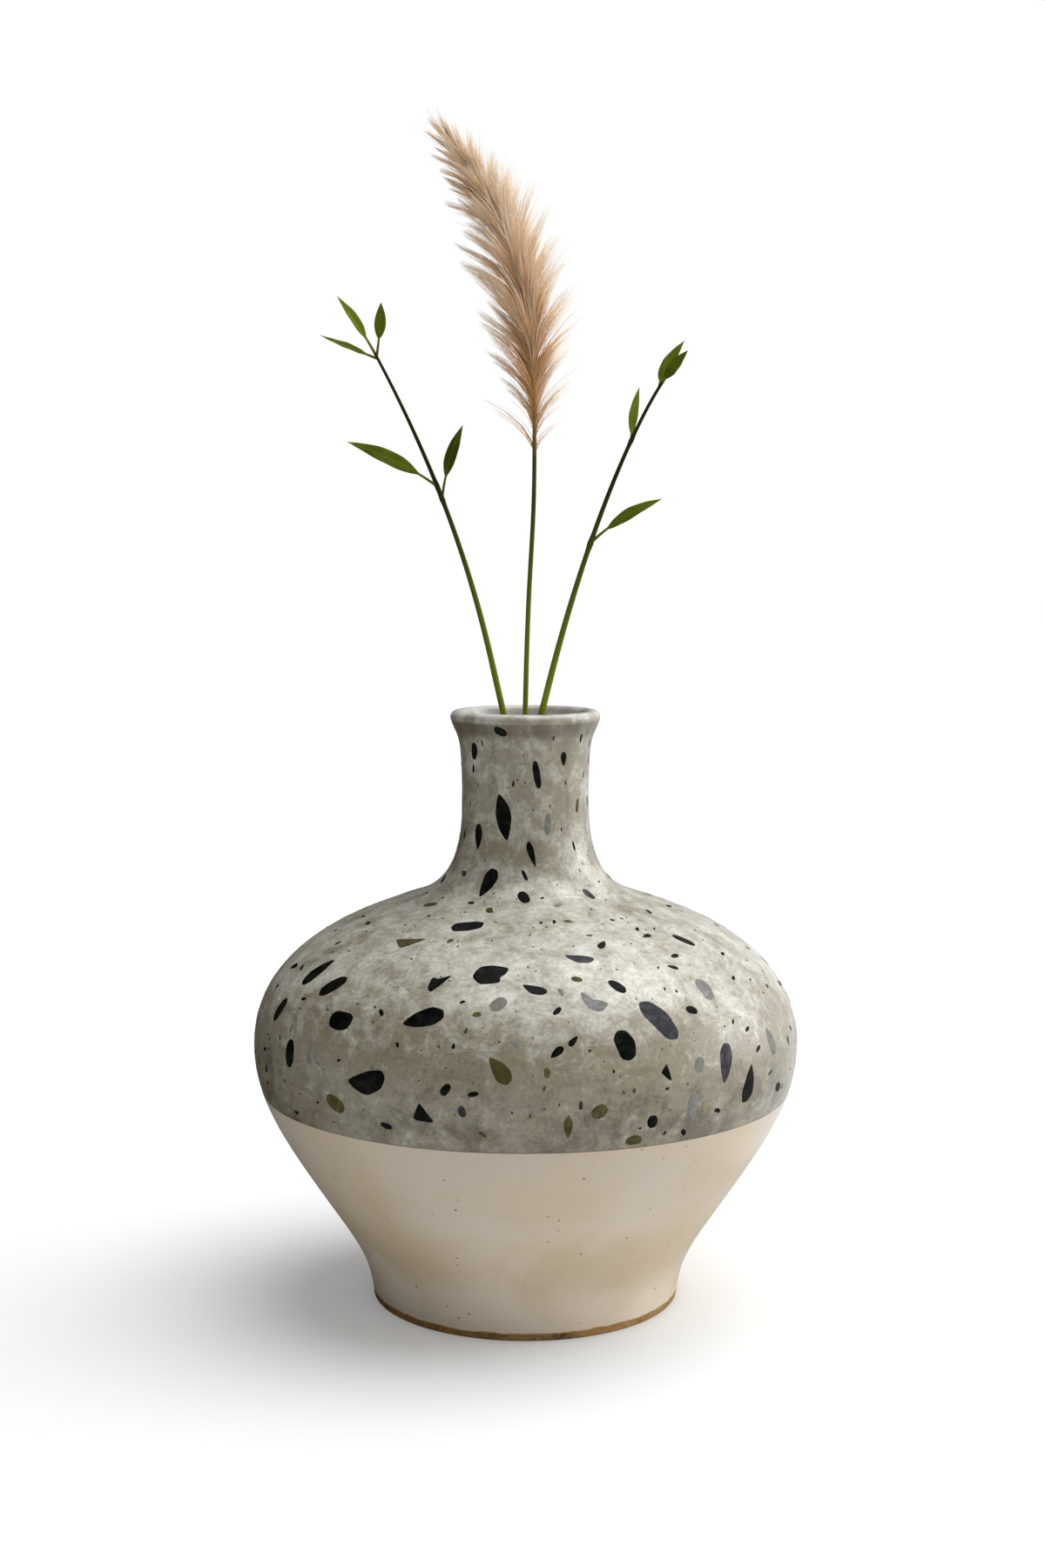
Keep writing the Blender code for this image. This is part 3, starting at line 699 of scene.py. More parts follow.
def plume_hair(plant):
    """Dry silky hairs: brown at the root as painted shade deep in the plume, tan along their length and
    cream at the fine tips, which also stands for painted light at the plume's edges.
    """
    material, node, shader = new_material(
        "Dry plume hair", IOR=1.5, Roughness=0.7, Specular_IOR_Level=0.15,
        Sheen_Weight=0.2, Sheen_Roughness=0.4, Sheen_Tint=plant.plume_cream,
    )
    hair = node("Attribute", attribute_name="hair")
    parts = node("SeparateXYZ", {0: hair.outputs["Vector"]})
    along, tone, _ = parts.outputs
    mixed = node("Math", {0: tone, 1: 0.55, 2: along}, operation="MULTIPLY_ADD")
    # Painted shade at the roots and painted light towards the tips
    body = node(
        "ValToRGB", {"Fac": mixed},
        stops=((0.05, plant.plume_root), (0.45, plant.plume_tan), (1.0, plant.plume_cream)),
    )
    feed(shader, {"Base Color": body})
    return material


def add_piece(name, vertices, faces, materials, body, slot=None, stands_for=()):
    """A smooth mesh piece that rides on a body and may stand for nodes of the frame."""
    mesh = bpy.data.meshes.new(name)
    mesh.from_pydata(vertices, [], faces)
    for material in materials:
        mesh.materials.append(material)
    mesh.validate()
    mesh.shade_smooth()
    piece = bpy.data.objects.new(name, mesh)
    bpy.context.scene.collection.objects.link(piece)
    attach(piece, body)
    if stands_for:
        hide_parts(*stands_for)
    return piece


def lip_arc(vase):
    """The rounded lip as (radius, height) points, from the flare over the top to the bore."""
    radius = vase.wall / 2
    middle = Vector((LIP_RADIUS - radius, vase.height - radius))
    start = -math.atan(FLARE)
    angles = [start + math.pi * step / LIP_ROWS for step in range(LIP_ROWS + 1)]
    return [middle + radius * Vector((math.cos(a), math.sin(a))) for a in angles]


def outline(vase):
    """The outer outline as (radius, height) points from the foot to the lip's round."""
    start = lip_arc(vase)[0]
    knots = (
        FOOT_KNOT, WAIST_KNOT, (vase.belly_radius, BELLY_HEIGHT, 0.0),
        SHOULDER_KNOT, NECK_KNOT, (start.x, start.y, FLARE),
    )
    points = [Vector(FOOT_KNOT[:2])]
    for low, high, pulls in zip(knots, knots[1:], SPAN_PULLS):
        a, b = Vector(low[:2]), Vector(high[:2])
        chord = (b - a).length
        leave = a + Vector((low[2], 1.0)).normalized() * chord * pulls[0]
        arrive = b - Vector((high[2], 1.0)).normalized() * chord * pulls[1]
        points += interpolate_bezier(a, leave, arrive, b, SPAN_ROWS + 1)[1:]
    return points


def inset(points, depth):
    """An upward outline moved square to itself into the wall."""
    moved = []
    for index, point in enumerate(points):
        after = points[min(index + 1, len(points) - 1)]
        along = (after - points[max(index - 1, 0)]).normalized()
        moved.append(point + Vector((-along.y, along.x)) * depth)
    return moved


def at_height(points, height):
    for low, high in zip(points, points[1:]):
        if low.y <= height <= high.y:
            return low.lerp(high, (height - low.y) / (high.y - low.y))
    raise ValueError(f"the outline doesn't reach {height}")


def between(points, low, high):
    """The stretch of an upward outline between two heights, ends included."""
    inner = [point for point in points if low < point.y < high]
    return [at_height(points, low), *inner, at_height(points, high)]


def stray(vase, angle, height):
    """How far the hand-turned wall lies from a true circle."""
    return vase.unevenness * (
        0.6 * math.sin(2 * angle + 0.9) * math.sin(19 * height + 0.4)
        + 0.4 * math.sin(3 * angle - 1.1 + 31 * height)
    )


def turned_piece(name, vase, profile, materials, material_rows, **riding):
    """A piece turned from a closed profile, with a material index for each row of faces."""
    vertices, faces, picks = [], [], []
    rings = []
    for point in profile:
        if point.x < 1e-7:
            rings.append([len(vertices)])
            vertices.append((0.0, 0.0, point.y))
            continue
        rings.append(list(range(len(vertices), len(vertices) + TURN_SIDES)))
        for side in range(TURN_SIDES):
            angle = 2 * math.pi * side / TURN_SIDES
            radius = point.x + stray(vase, angle, point.y)
            vertices.append((radius * math.cos(angle), radius * math.sin(angle), point.y))
    pairs = list(zip(rings, rings[1:]))
    if len(rings[0]) > 1:
        pairs.append((rings[-1], rings[0]))
    for row, (first, second) in enumerate(pairs):
        for side in range(TURN_SIDES):
            after = (side + 1) % TURN_SIDES
            corners = [
                first[side % len(first)],
                second[side % len(second)],
                second[after % len(second)],
                first[after % len(first)],
            ]
            unique = list(dict.fromkeys(corners))
            faces.append(unique)
            picks.append(material_rows[row])
    piece = add_piece(name, vertices, faces, materials, **riding)
    piece.data.polygons.foreach_set("material_index", picks)
    piece.data.set_sharp_from_angle(angle=SHARP_EDGE)
    return piece


class BudVaseLower(bpy.types.Operator):
    """Build the cream-glazed lower body"""

    bl_idname = "bud_vase.lower_body"
    bl_label = "Lower body"

    def execute(self, context):
        vase = context.scene.bud_vase
        outer = outline(vase)
        wall = between(inset(outer, vase.wall), vase.floor + FLOOR_FILLET, vase.seam_height)
        corner = at_height(inset(outer, vase.wall), vase.floor)
        start = corner - Vector((FLOOR_FILLET, 0.0))
        fillet = interpolate_bezier(start, corner, corner, wall[0], 8)
        skin = between(outer, vase.foot_height, vase.seam_height - 0.0001)
        profile = [
            Vector((0.0, vase.floor)),
            *fillet,
            *wall[1:],
            *reversed(skin),
            Vector((0.0, vase.foot_height)),
        ]
        inner = len(fillet) + len(wall) - 1
        rows = [1] * inner + [0] * (len(profile) - 1 - inner)
        turned_piece(
            "vase_lower", vase, profile, [cream_glaze(vase), lining_glaze(vase)], rows,
            body="vase", slot="cream_glaze", stands_for=("lower_body",),
        )
        return {"FINISHED"}


class BudVaseUpper(bpy.types.Operator):
    """Build the stone-glazed upper body with the neck and lip"""

    bl_idname = "bud_vase.upper_body"
    bl_label = "Upper body"

    def execute(self, context):
        vase = context.scene.bud_vase
        outer = outline(vase)
        lip = lip_arc(vase)
        bore = inset(outer, vase.wall)[:-1] + [lip[-1]]
        skin = between(outer, vase.seam_height, outer[-1].y)
        # The stone glaze ends in a thin rounded roll over the cream
        roll = [
            skin[0] + Vector((-0.00010, 0.0)),
            skin[0] + Vector((0.00006, 0.00004)),
            skin[0] + Vector((0.00009, 0.00025)),
        ]
        skin = [point for point in skin[1:] if point.y > roll[-1].y + 0.0004]
        wall = between(bore, vase.seam_height, bore[-1].y)
        profile = [*wall, *reversed(lip[:-1]), *reversed(skin[:-1]), *reversed(roll)]
        lining = len(wall) + LIP_ROWS // 3
        rows = [1] * lining + [0] * (len(profile) - lining)
        turned_piece(
            "vase_upper", vase, profile, [stone_glaze(vase), lining_glaze(vase)], rows,
            body="vase", slot="stone_glaze", stands_for=("upper_body",),
        )
        return {"FINISHED"}


class BudVaseFoot(bpy.types.Operator):
    """Build the bare foot ring"""

    bl_idname = "bud_vase.foot_ring"
    bl_label = "Foot ring"

    def execute(self, context):
        vase = context.scene.bud_vase
        outer = at_height(outline(vase), vase.foot_height).x - 0.00005
        inner = FOOT_BOX[1].x - FOOT_RING_WIDTH
        profile = [Vector((inner, vase.foot_height + 0.0002))]
        for x, start in ((inner + FOOT_ROUNDING, math.pi), (outer - FOOT_ROUNDING, 1.5 * math.pi)):
            middle = Vector((x, FOOT_ROUNDING))
            for step in range(7):
                angle = start + step / 6 * math.pi / 2
                profile.append(middle + FOOT_ROUNDING * Vector((math.cos(angle), math.sin(angle))))
        profile.append(Vector((outer, vase.foot_height + 0.0002)))
        turned_piece(
            "vase_foot", vase, profile, [bare_clay(vase)], [0] * len(profile),
            body="vase", slot="bare_stoneware", stands_for=("foot_ring",),
        )
        return {"FINISHED"}


class Wall:
    """The outer wall unrolled: arc length up the outline and bearing round it."""

    def __init__(self, vase):
        self.vase = vase
        points = np.array([tuple(p) for p in outline(vase)])
        steps = np.linalg.norm(np.diff(points, axis=0), axis=1)
        self.arc = np.concatenate([[0.0], np.cumsum(steps)])
        self.radius = points[:, 0]
        self.height = points[:, 1]

    def arc_at(self, height):
        return float(np.interp(height, self.height, self.arc))

    def radius_at(self, arc):
        return float(np.interp(arc, self.arc, self.radius))

    def point(self, arc, bearing, lift):
        """A point of the wall moved out along its normal."""
        radius = self.radius_at(arc)
        height = float(np.interp(arc, self.arc, self.height))
        step = 0.0005
        rise = np.interp(arc + step, self.arc, self.height) - np.interp(arc - step, self.arc, self.height)
        run = self.radius_at(arc + step) - self.radius_at(arc - step)
        out = Vector((rise, -run)).normalized() * lift
        radius += stray(self.vase, bearing, height) + out.x
        return (radius * math.cos(bearing), radius * math.sin(bearing), height + out.y)


def worn(corners, share):
    """An outline with this share cut off each side of its corners, as a tumbled stone's are."""
    cut = []
    for a, b in zip(corners, corners[1:] + corners[:1]):
        cut.append((a[0] + (b[0] - a[0]) * share, a[1] + (b[1] - a[1]) * share))
        cut.append((b[0] + (a[0] - b[0]) * share, b[1] + (a[1] - b[1]) * share))
    return cut


def chip_mesh(wall, chip, rng, vertices, faces):
    """Adds one inlaid chip that follows the wall."""
    corners = [
        (x * (1 + rng.uniform(-0.05, 0.05)), y * (1 + rng.uniform(-0.06, 0.06)))
        for x, y in CHIP_SHAPES[chip.shape]
    ]
    edge = worn(worn(corners, 0.18), 0.25)
    arc = wall.arc_at(chip.height * MM)
    tilt = math.radians(chip.tilt)
    first = len(vertices)

    def put(share, lift):
        for x, y in edge:
            a = x * chip.long * MM / 2 * share
            b = y * chip.broad * MM / 2 * share
            up = arc + a * math.sin(tilt) + b * math.cos(tilt)
            side = a * math.cos(tilt) - b * math.sin(tilt)
            bearing = math.radians(chip.bearing) + side / wall.radius_at(up)
            vertices.append(wall.point(up, bearing, lift))

    levels = ((0.45, CHIP_LIFT), (0.80, CHIP_LIFT), (0.97, CHIP_LIFT), (1.03, 0.0), (1.0, -CHIP_DEPTH))
    vertices.append(wall.point(arc, math.radians(chip.bearing), CHIP_LIFT))
    for share, lift in levels:
        put(share, lift)
    count = len(edge)
    for index in range(count):
        after = (index + 1) % count
        faces.append((first, first + 1 + index, first + 1 + after))
        for level in range(len(levels) - 1):
            low = first + 1 + level * count
            high = low + count
            faces.append((low + index, high + index, high + after, low + after))
    last = first + 1 + (len(levels) - 1) * count
    faces.append(tuple(reversed(range(last, last + count))))


def scattered(vase, wall, rng):
    """Chips by chance, clear of each other: all sizes behind, small ones in front, flecks all round."""
    placed = list(FRONT_CHIPS)
    made = []
    low, high = vase.seam_height / MM + 2.0, vase.height / MM - 3.5

    def free(height, bearing, size):
        for other in placed:
            radius = wall.radius_at(wall.arc_at(height * MM)) / MM
            turn = (bearing - other.bearing + 180) % 360 - 180
            side = math.radians(turn) * radius
            up = (wall.arc_at(height * MM) - wall.arc_at(other.height * MM)) / MM
            if math.hypot(side, up) < 0.62 * (size + other.long):
                return False
        return True

    def place(count, sizes, bearings):
        tries = 0
        done = 0
        while done < count and tries < 40 * count:
            tries += 1
            arc = rng.uniform(wall.arc_at(low * MM), wall.arc_at(high * MM))
            height = float(np.interp(arc, wall.arc, wall.height)) / MM
            if rng.random() > wall.radius_at(arc) / vase.belly_radius:
                continue
            bearing = rng.uniform(*bearings)
            size = sizes[0] * (sizes[1] / sizes[0]) ** (rng.random() ** 1.6)
            if not free(height, bearing, size):
                continue
            on_neck = height > NECK_CHIP_HEIGHT
            chip = Chip(
                bearing,
                height,
                size * (1.25 if on_neck else 1.0),
                size * rng.uniform(0.30, 0.45) if on_neck else size * rng.uniform(0.42, 0.72),
                rng.gauss(90, 10) if on_neck else rng.uniform(-180, 180),
                rng.choice(("oval", "oval", "drop", "drop", "block", "shield", "boat")),
                rng.choices(CHIP_TONES, (12, 2, 4, 2))[0],
            )
            placed.append(chip)
            made.append(chip)
            done += 1

    place(vase.scattered_chips, (2.6, 11.0), (-18, 176))
    place(vase.small_chips, (2.2, 4.6), (-180, -20))
    place(vase.flecks, (0.7, 2.2), (-180, 180))
    return made


class BudVaseChips(bpy.types.Operator):
    """Set the stone chips into the upper glaze"""

    bl_idname = "bud_vase.glaze_chips"
    bl_label = "Glaze chips"

    def execute(self, context):
        vase = context.scene.bud_vase
        wall = Wall(vase)
        rng = random.Random(41)
        chips = [*FRONT_CHIPS, *scattered(vase, wall, rng)]
        stones = {
            "basalt": chip_stone("Basalt chip", vase.basalt, linear("#23241F")),
            "slate": chip_stone("Slate chip", vase.slate, linear("#57565C")),
            "olive": chip_stone("Olive stone chip", vase.olive, linear("#6B6342")),
            "ash": chip_stone("Ash stone chip", vase.ash, linear("#96959A")),
        }
        for tone in CHIP_TONES:
            vertices, faces = [], []
            for chip in chips:
                if chip.tone == tone:
                    chip_mesh(wall, chip, rng, vertices, faces)
            piece = add_piece(
                f"chips_{tone}", vertices, faces, [stones[tone]], body="vase", slot="stone_glaze"
            )
            piece.data.set_sharp_from_angle(angle=SHARP_EDGE)
        return {"FINISHED"}


def stem_line(stem, count):
    """The stem's centre line from its cut end to its tip."""
    seat, rim = Vector(stem.seat), Vector(stem.rim)
    along = (rim - seat).normalized()
    start = rim + along * STRAIGHT_ABOVE_RIM
    tip = rim + Vector(stem.reach)
    chord = (tip - start).length
    leave = start + along * chord * stem.pulls[0]
    arrive = tip - Vector(stem.heading).normalized() * chord * stem.pulls[1]
    straight = [seat.lerp(start, step / 24) for step in range(24)]
    return straight + interpolate_bezier(start, leave, arrive, tip, count)


def bent_share(stem, point):
    """How far a point lies up the bent part of a stem, from 0 to 1."""
    low = stem.rim[2] + STRAIGHT_ABOVE_RIM
    high = stem.rim[2] + stem.reach[2]
    return min(max((point.z - low) / (high - low), 0.0), 1.0)


def on_stem(stem, height):
    """The stem's middle at a height above the rim."""
    points = stem_line(stem, 120)
    level = min(stem.rim[2] + height, points[-1].z)
    for low, high in zip(points, points[1:]):
        if low.z <= level <= high.z:
            return low.lerp(high, (level - low.z) / (high.z - low.z))
    raise ValueError(f"the stem doesn't reach {height}")


def ring_faces(rings, sides):
    """Faces between rings of vertices that follow each other, closed at both ends."""
    faces = []
    for ring in range(rings - 1):
        for corner in range(sides):
            after = (corner + 1) % sides
            a, b = ring * sides, (ring + 1) * sides
            faces.append((a + corner, a + after, b + after, b + corner))
    top = (rings - 1) * sides
    faces.append(tuple(reversed(range(sides))))
    faces.append(tuple(range(top, top + sides)))
    return faces


def tube(points, radii, sides):
    """Vertices and faces of a closed round tube along a line."""
    vertices = []
    side = Vector((1.0, 0.0, 0.0))
    for index, (point, radius) in enumerate(zip(points, radii)):
        after = points[min(index + 1, len(points) - 1)]
        along = (after - points[max(index - 1, 0)]).normalized()
        side = (side - along * side.dot(along)).normalized()
        other = along.cross(side)
        for corner in range(sides):
            angle = 2 * math.pi * corner / sides
            vertices.append(point + (side * math.cos(angle) + other * math.sin(angle)) * radius)
    return vertices, ring_faces(len(points), sides)


def stem_piece(name, stem, nodes, material, **riding):
    """A tapered stem with a small swelling where each leaf leaves it."""
    points = stem_line(stem, 110)
    radii = []
    for point in points:
        radius = stem.radius + (stem.tip_radius - stem.radius) * bent_share(stem, point)
        for height in nodes:
            gap = (point.z - stem.rim[2] - height) / 0.0013
            radius *= 1 + 0.30 * math.exp(-gap * gap)
        radii.append(radius)
    vertices, faces = tube(points, radii, 16)
    piece = add_piece(name, vertices, faces, [material], **riding)
    piece.data.set_sharp_from_angle(angle=SHARP_EDGE)
    return piece


class BudVaseStems(bpy.types.Operator):
    """Build the grass stem and the two sprig stems"""

    bl_idname = "bud_vase.stems"
    bl_label = "Stems"

    def execute(self, context):
        plant = context.scene.bud_vase_plants
        straw = stem_skin("Green grass culm", plant.stem_low, plant.straw, 0.165, 0.225)
        bark = stem_skin("Green sprig bark", plant.stem_low, plant.stem_high, 0.165, 0.230)
        stem_piece(
            "grass_culm", GRASS, (), straw,
            body="grass", slot="straw_green", stands_for=("grass_stem",),
        )
        for name, stem, leaves in (
            ("left_sprig", LEFT_SPRIG, LEFT_LEAVES),
            ("right_sprig", RIGHT_SPRIG, RIGHT_LEAVES),
        ):
            heights = [leaf.spot for leaf in leaves if leaf.spot < stem.reach[2] - 0.005]
            stem_piece(
                name + "_bark", stem, heights, bark,
                body=name, slot="sprig_bark", stands_for=(name + "_stem",),
            )
        return {"FINISHED"}


def blade_width(leaf, share):
    """Half the blade's breadth at a share of its length."""
    skew = math.log(0.5) / math.log(LEAF_WIDEST)
    return leaf.width / 2 * math.sin(math.pi * share**skew) ** LEAF_FULLNESS


def leaf_piece(stem, leaf, index, material, body):
    """A thin lance-shaped leaf on its stalk: folded at the midrib, with a gently waved edge."""
    middle = on_stem(stem, leaf.spot)
    bend, tip = middle + Vector(leaf.bend), middle + Vector(leaf.tip)
    spine = interpolate_bezier(
        middle, middle.lerp(bend, 2 / 3), tip.lerp(bend, 2 / 3), tip, LEAF_STATIONS
    )
    total = sum((b - a).length for a, b in zip(spine, spine[1:]))
    stalk_share = leaf.stalk / total
    vertices, marks = [], []
    ring = 2 * LEAF_COLUMNS
    for station, point in enumerate(spine):
        share = station / (LEAF_STATIONS - 1)
        along = spine[min(station + 1, LEAF_STATIONS - 1)] - spine[max(station - 1, 0)]
        side = along.cross(Vector(leaf.face)).normalized()
        rise = side.cross(along).normalized()
        blade = max((share - stalk_share) / (1 - stalk_share), 0.0)
        stalk = LEAF_STALK_RADIUS * (1 - 0.75 * share)
        half = max(blade_width(leaf, blade), stalk, 0.00006)
        flat = max(half - stalk, 0.0) / (leaf.width / 2)
        thick = stalk + (0.00016 - stalk) * min(2.5 * flat, 1.0)
        fold = math.tan(math.radians(leaf.fold)) * flat
        for corner in range(ring):
            angle = 2 * math.pi * corner / ring
            across = math.cos(angle)
            away = abs(across)
            skin = thick * math.sin(angle)
            if flat > 0.1:
                skin *= 0.35 + 0.65 * math.exp(-((away / 0.16) ** 2)) if skin < 0 else 0.6
            wave = 0.00010 * flat * away**3 * math.sin(22 * share + 2.1 * index + 1.3 * across)
            height = skin + away * half * fold - 0.16 * half * flat * away**2 + wave
            vertices.append(point - side * half * across + rise * height)
            reach = blade if blade > 0 else share / max(stalk_share, 1e-6) - 1
            marks.append((across * min(flat * 3, 1.0), reach, leaf.tone))
    piece = add_piece(
        leaf.node + "_blade", vertices, ring_faces(LEAF_STATIONS, ring), [material],
        body=body, slot="leaf_green", stands_for=(leaf.node,),
    )
    blades = piece.data.attributes.new("blade", "FLOAT_VECTOR", "POINT")
    blades.data.foreach_set("vector", np.array(marks, dtype=np.float32).ravel())
    return piece


class BudVaseLeaves(bpy.types.Operator):
    """Build the leaves of both sprigs"""

    bl_idname = "bud_vase.leaves"
    bl_label = "Leaves"

    def execute(self, context):
        skin = leaf_skin(context.scene.bud_vase_plants)
        for body, stem, leaves in (
            ("left_sprig", LEFT_SPRIG, LEFT_LEAVES),
            ("right_sprig", RIGHT_SPRIG, RIGHT_LEAVES),
        ):
            for index, leaf in enumerate(leaves):
                leaf_piece(stem, leaf, index, skin, body)
        return {"FINISHED"}


def smooth(low, high, value):
    share = min(max((value - low) / (high - low), 0.0), 1.0)
    return share * share * (3 - 2 * share)


class PlumeSpine:
    """The line that the plume's hairs grow from, with its frame."""

    def __init__(self, count=200):
        base = Vector(GRASS.rim) + Vector(GRASS.reach)
        tip = base + PLUME_REACH
        along = Vector(GRASS.heading).normalized()
        leave = base + along * PLUME_REACH.length * PLUME_PULLS[0]
        arrive = tip - PLUME_HEADING.normalized() * PLUME_REACH.length * PLUME_PULLS[1]
        self.points = interpolate_bezier(base, leave, arrive, tip, count)

    def at(self, share):
        """Middle, direction, right-hand side and far side at a share of the length."""
        place = min(max(share, 0.0), 1.0) * (len(self.points) - 1)
        index = min(int(place), len(self.points) - 2)
        step = self.points[index + 1] - self.points[index]
        along = step.normalized()
        right = Vector((0.0, 1.0, 0.0)).cross(along).normalized()
        far = along.cross(right)
        return self.points[index] + step * (place - index), along, right, far


# Tuft sizes at shares of the plume's length: how far the hairs reach out and up, in mm
TUFT_SHARES = (0.00, 0.10, 0.22, 0.35, 0.48, 0.65, 0.80, 0.90, 1.00)
TUFT_OUT = (10.0, 12.5, 13.0, 14.0, 12.5, 9.0, 5.5, 3.0, 1.5)
TUFT_UP = (16.0, 20.0, 22.0, 22.0, 21.0, 20.0, 18.0, 15.0, 10.0)
HAIR_STEPS = 5


class Tuft(NamedTuple):
    """A tuft of hairs: its place on the spine, the way it faces and the reach of its hairs."""

    share: float
    turn: float
    out: float
    up: float
    curl: float


def hair_line(spine, tuft):
    """Points of one hair that leaves the spine along it and bends outward."""
    middle, along, right, far = spine.at(tuft.share)
    outward = right * math.cos(tuft.turn) + far * math.sin(tuft.turn)
    points = []
    for step in range(HAIR_STEPS):
        u = step / (HAIR_STEPS - 1)
        point = middle + along * tuft.up * (u - 0.08 * u * u) + outward * tuft.out * u**tuft.curl
        points.append(point - UP * 0.0008 * u**3)
    return points


def gathered(line, guide, pull):
    """A hair drawn towards its tuft's middle hair, more so at its tip."""
    last = HAIR_STEPS - 1
    return [
        point.lerp(other, pull * (step / last) ** 0.8)
        for step, (point, other) in enumerate(zip(line, guide))
    ]


def hair_piece(name, lines, radii, marks, material, **riding):
    """Many thin three-sided hairs in one mesh."""
    lines = np.array(lines, dtype=float)
    radii = np.array(radii, dtype=float)
    along = np.gradient(lines, axis=1)
    along /= np.linalg.norm(along, axis=2, keepdims=True)
    side = np.cross(along, np.array((0.31, 0.83, 0.46)))
    side /= np.linalg.norm(side, axis=2, keepdims=True)
    other = np.cross(along, side)
    corners = [
        lines + radii[..., None] * (math.cos(a) * side + math.sin(a) * other)
        for a in (0.0, 2 * math.pi / 3, 4 * math.pi / 3)
    ]
    vertices = np.stack(corners, axis=2)
    count, steps = radii.shape
    faces = []
    for hair in range(count):
        first = hair * steps * 3
        for step in range(steps - 1):
            low = first + 3 * step
            for a, b in ((0, 1), (1, 2), (2, 0)):
                faces.append((low + a, low + b, low + 3 + b, low + 3 + a))
        faces.append((first + 2, first + 1, first))
        last = first + 3 * (steps - 1)
        faces.append((last, last + 1, last + 2))
    piece = add_piece(name, vertices.reshape(-1, 3).tolist(), faces, [material], **riding)
    growth = np.linspace(0.0, 1.0, steps)
    values = np.zeros((count, steps, 3, 3), dtype=np.float32)
    values[..., 0] = growth[None, :, None]
    values[..., 1] = np.array(marks)[:, None, None]
    hairs = piece.data.attributes.new("hair", "FLOAT_VECTOR", "POINT")
    hairs.data.foreach_set("vector", values.ravel())
    return piece


class BudVasePlume(bpy.types.Operator):
    """Build the grass plume from tufts of fine hairs"""

    bl_idname = "bud_vase.plume"
    bl_label = "Plume"

    def execute(self, context):
        plant = context.scene.bud_vase_plants
        rng = random.Random(7)
        spine = PlumeSpine()
        taper = [1.0 - 0.82 * (step / (HAIR_STEPS - 1)) ** 1.4 for step in range(HAIR_STEPS)]
        lines, radii, marks = [], [], []

        def grow(line, tone, thick):
            lines.append(line)
            radii.append([thick * t for t in taper])
            marks.append(tone)

        def tuft_at(share, turn, curl):
            """A tuft of the usual size at this share of the spine, give or take."""
            return Tuft(
                share, turn,
                np.interp(share, TUFT_SHARES, TUFT_OUT) * MM * rng.uniform(0.78, 1.16),
                np.interp(share, TUFT_SHARES, TUFT_UP) * MM * rng.uniform(0.84, 1.14),
                curl,
            )

        # The two lowest tufts are thin and stand to the sides, so that the stalk shows
        tufts = [
            (Tuft(0.0, math.pi, 0.0125, 0.0185, 1.9), 12),
            (Tuft(0.005, 0.15, 0.0075, 0.0120, 1.6), 9),
        ]
        for number in range(plant.tufts):
            share = 0.05 + 0.86 * (number + rng.random()) / plant.tufts
            turn = number * math.radians(137.5) + rng.gauss(0.0, 0.25)
            if share < 0.20 and math.sin(turn) < -0.5:
                continue
            # Low on the plume the hairs run up the stalk before they spread
            curl = rng.uniform(1.15, 1.55) + 0.5 * (1 - smooth(0.05, 0.30, share))
            tufts.append((tuft_at(share, turn, curl), plant.tuft_strands))
        for tuft, strands in tufts:
            # The hairs of the left side spread and gather to points, those of the right lie loose
            loose = smooth(-0.6, 0.8, math.cos(tuft.turn))
            wider = 1.16 - 0.16 * loose
            guide = hair_line(spine, tuft._replace(out=tuft.out * wider))
            pull = 0.9 if tuft.share < 0.01 else rng.uniform(0.58, 0.82) - 0.35 * loose
            # Painted light: tufts that face right, towards the lamps, are lighter, those on the left
            # darker as painted shade
            tone = rng.uniform(-0.30, 0.20) + 0.25 * loose
            for _ in range(strands):
                off = rng.gauss(0.0, 1.0)
                longer = rng.uniform(0.55, 1.10)
                own = tuft._replace(
                    share=tuft.share + rng.gauss(0.0, 0.010),
                    turn=tuft.turn + 0.32 * off,
                    out=tuft.out * wider * longer * rng.uniform(0.80, 1.12),
                    up=tuft.up * longer,
                )
                # Painted shade: hairs near a tuft's middle are darker, its outer hairs lighter
                grow(
                    gathered(hair_line(spine, own), guide, pull * min(longer, 1.0)),
                    tone + 0.22 * (abs(off) - 0.8) + rng.gauss(0.0, 0.15),
                    plant.strand_radius * rng.uniform(0.7, 1.3),
                )
        # Short down that fills the body of the plume
        for _ in range(plant.down_hairs):
            tuft = tuft_at(rng.uniform(0.16, 0.88), rng.uniform(0, 2 * math.pi), rng.uniform(1.1, 1.5))
            low = tuft._replace(
                out=tuft.out * rng.uniform(0.2, 0.6), up=tuft.up * rng.uniform(0.6, 1.0)
            )
            grow(hair_line(spine, low), rng.uniform(-0.4, 0.3), plant.strand_radius)
        # Single long hairs that stand off the plume
        for _ in range(plant.stray_hairs):
            tuft = tuft_at(rng.uniform(0.04, 0.93), rng.uniform(0, 2 * math.pi), rng.uniform(1.5, 2.2))
            far_out = tuft._replace(
                out=tuft.out * rng.uniform(1.05, 1.25), up=tuft.up * rng.uniform(1.05, 1.25)
            )
            grow(hair_line(spine, far_out), rng.uniform(-0.6, 0.0), plant.strand_radius * 1.6)
        hair_piece(
            "plume_hairs", lines, radii, marks, plume_hair(plant),
            body="grass", slot="dry_plume", stands_for=("grass_plume",),
        )
        core = [spine.at(0.92 * step / 60)[0] for step in range(61)]
        thick = [GRASS.tip_radius * (1 - 0.8 * step / 60) for step in range(61)]
        vertices, faces = tube(core, thick, 10)
        add_piece(
            "plume_spine", vertices, faces,
            [stem_skin("Dry plume stalk", plant.straw, plant.plume_root, 0.238, 0.265)],
            body="grass", slot="straw_green",
        )
        return {"FINISHED"}


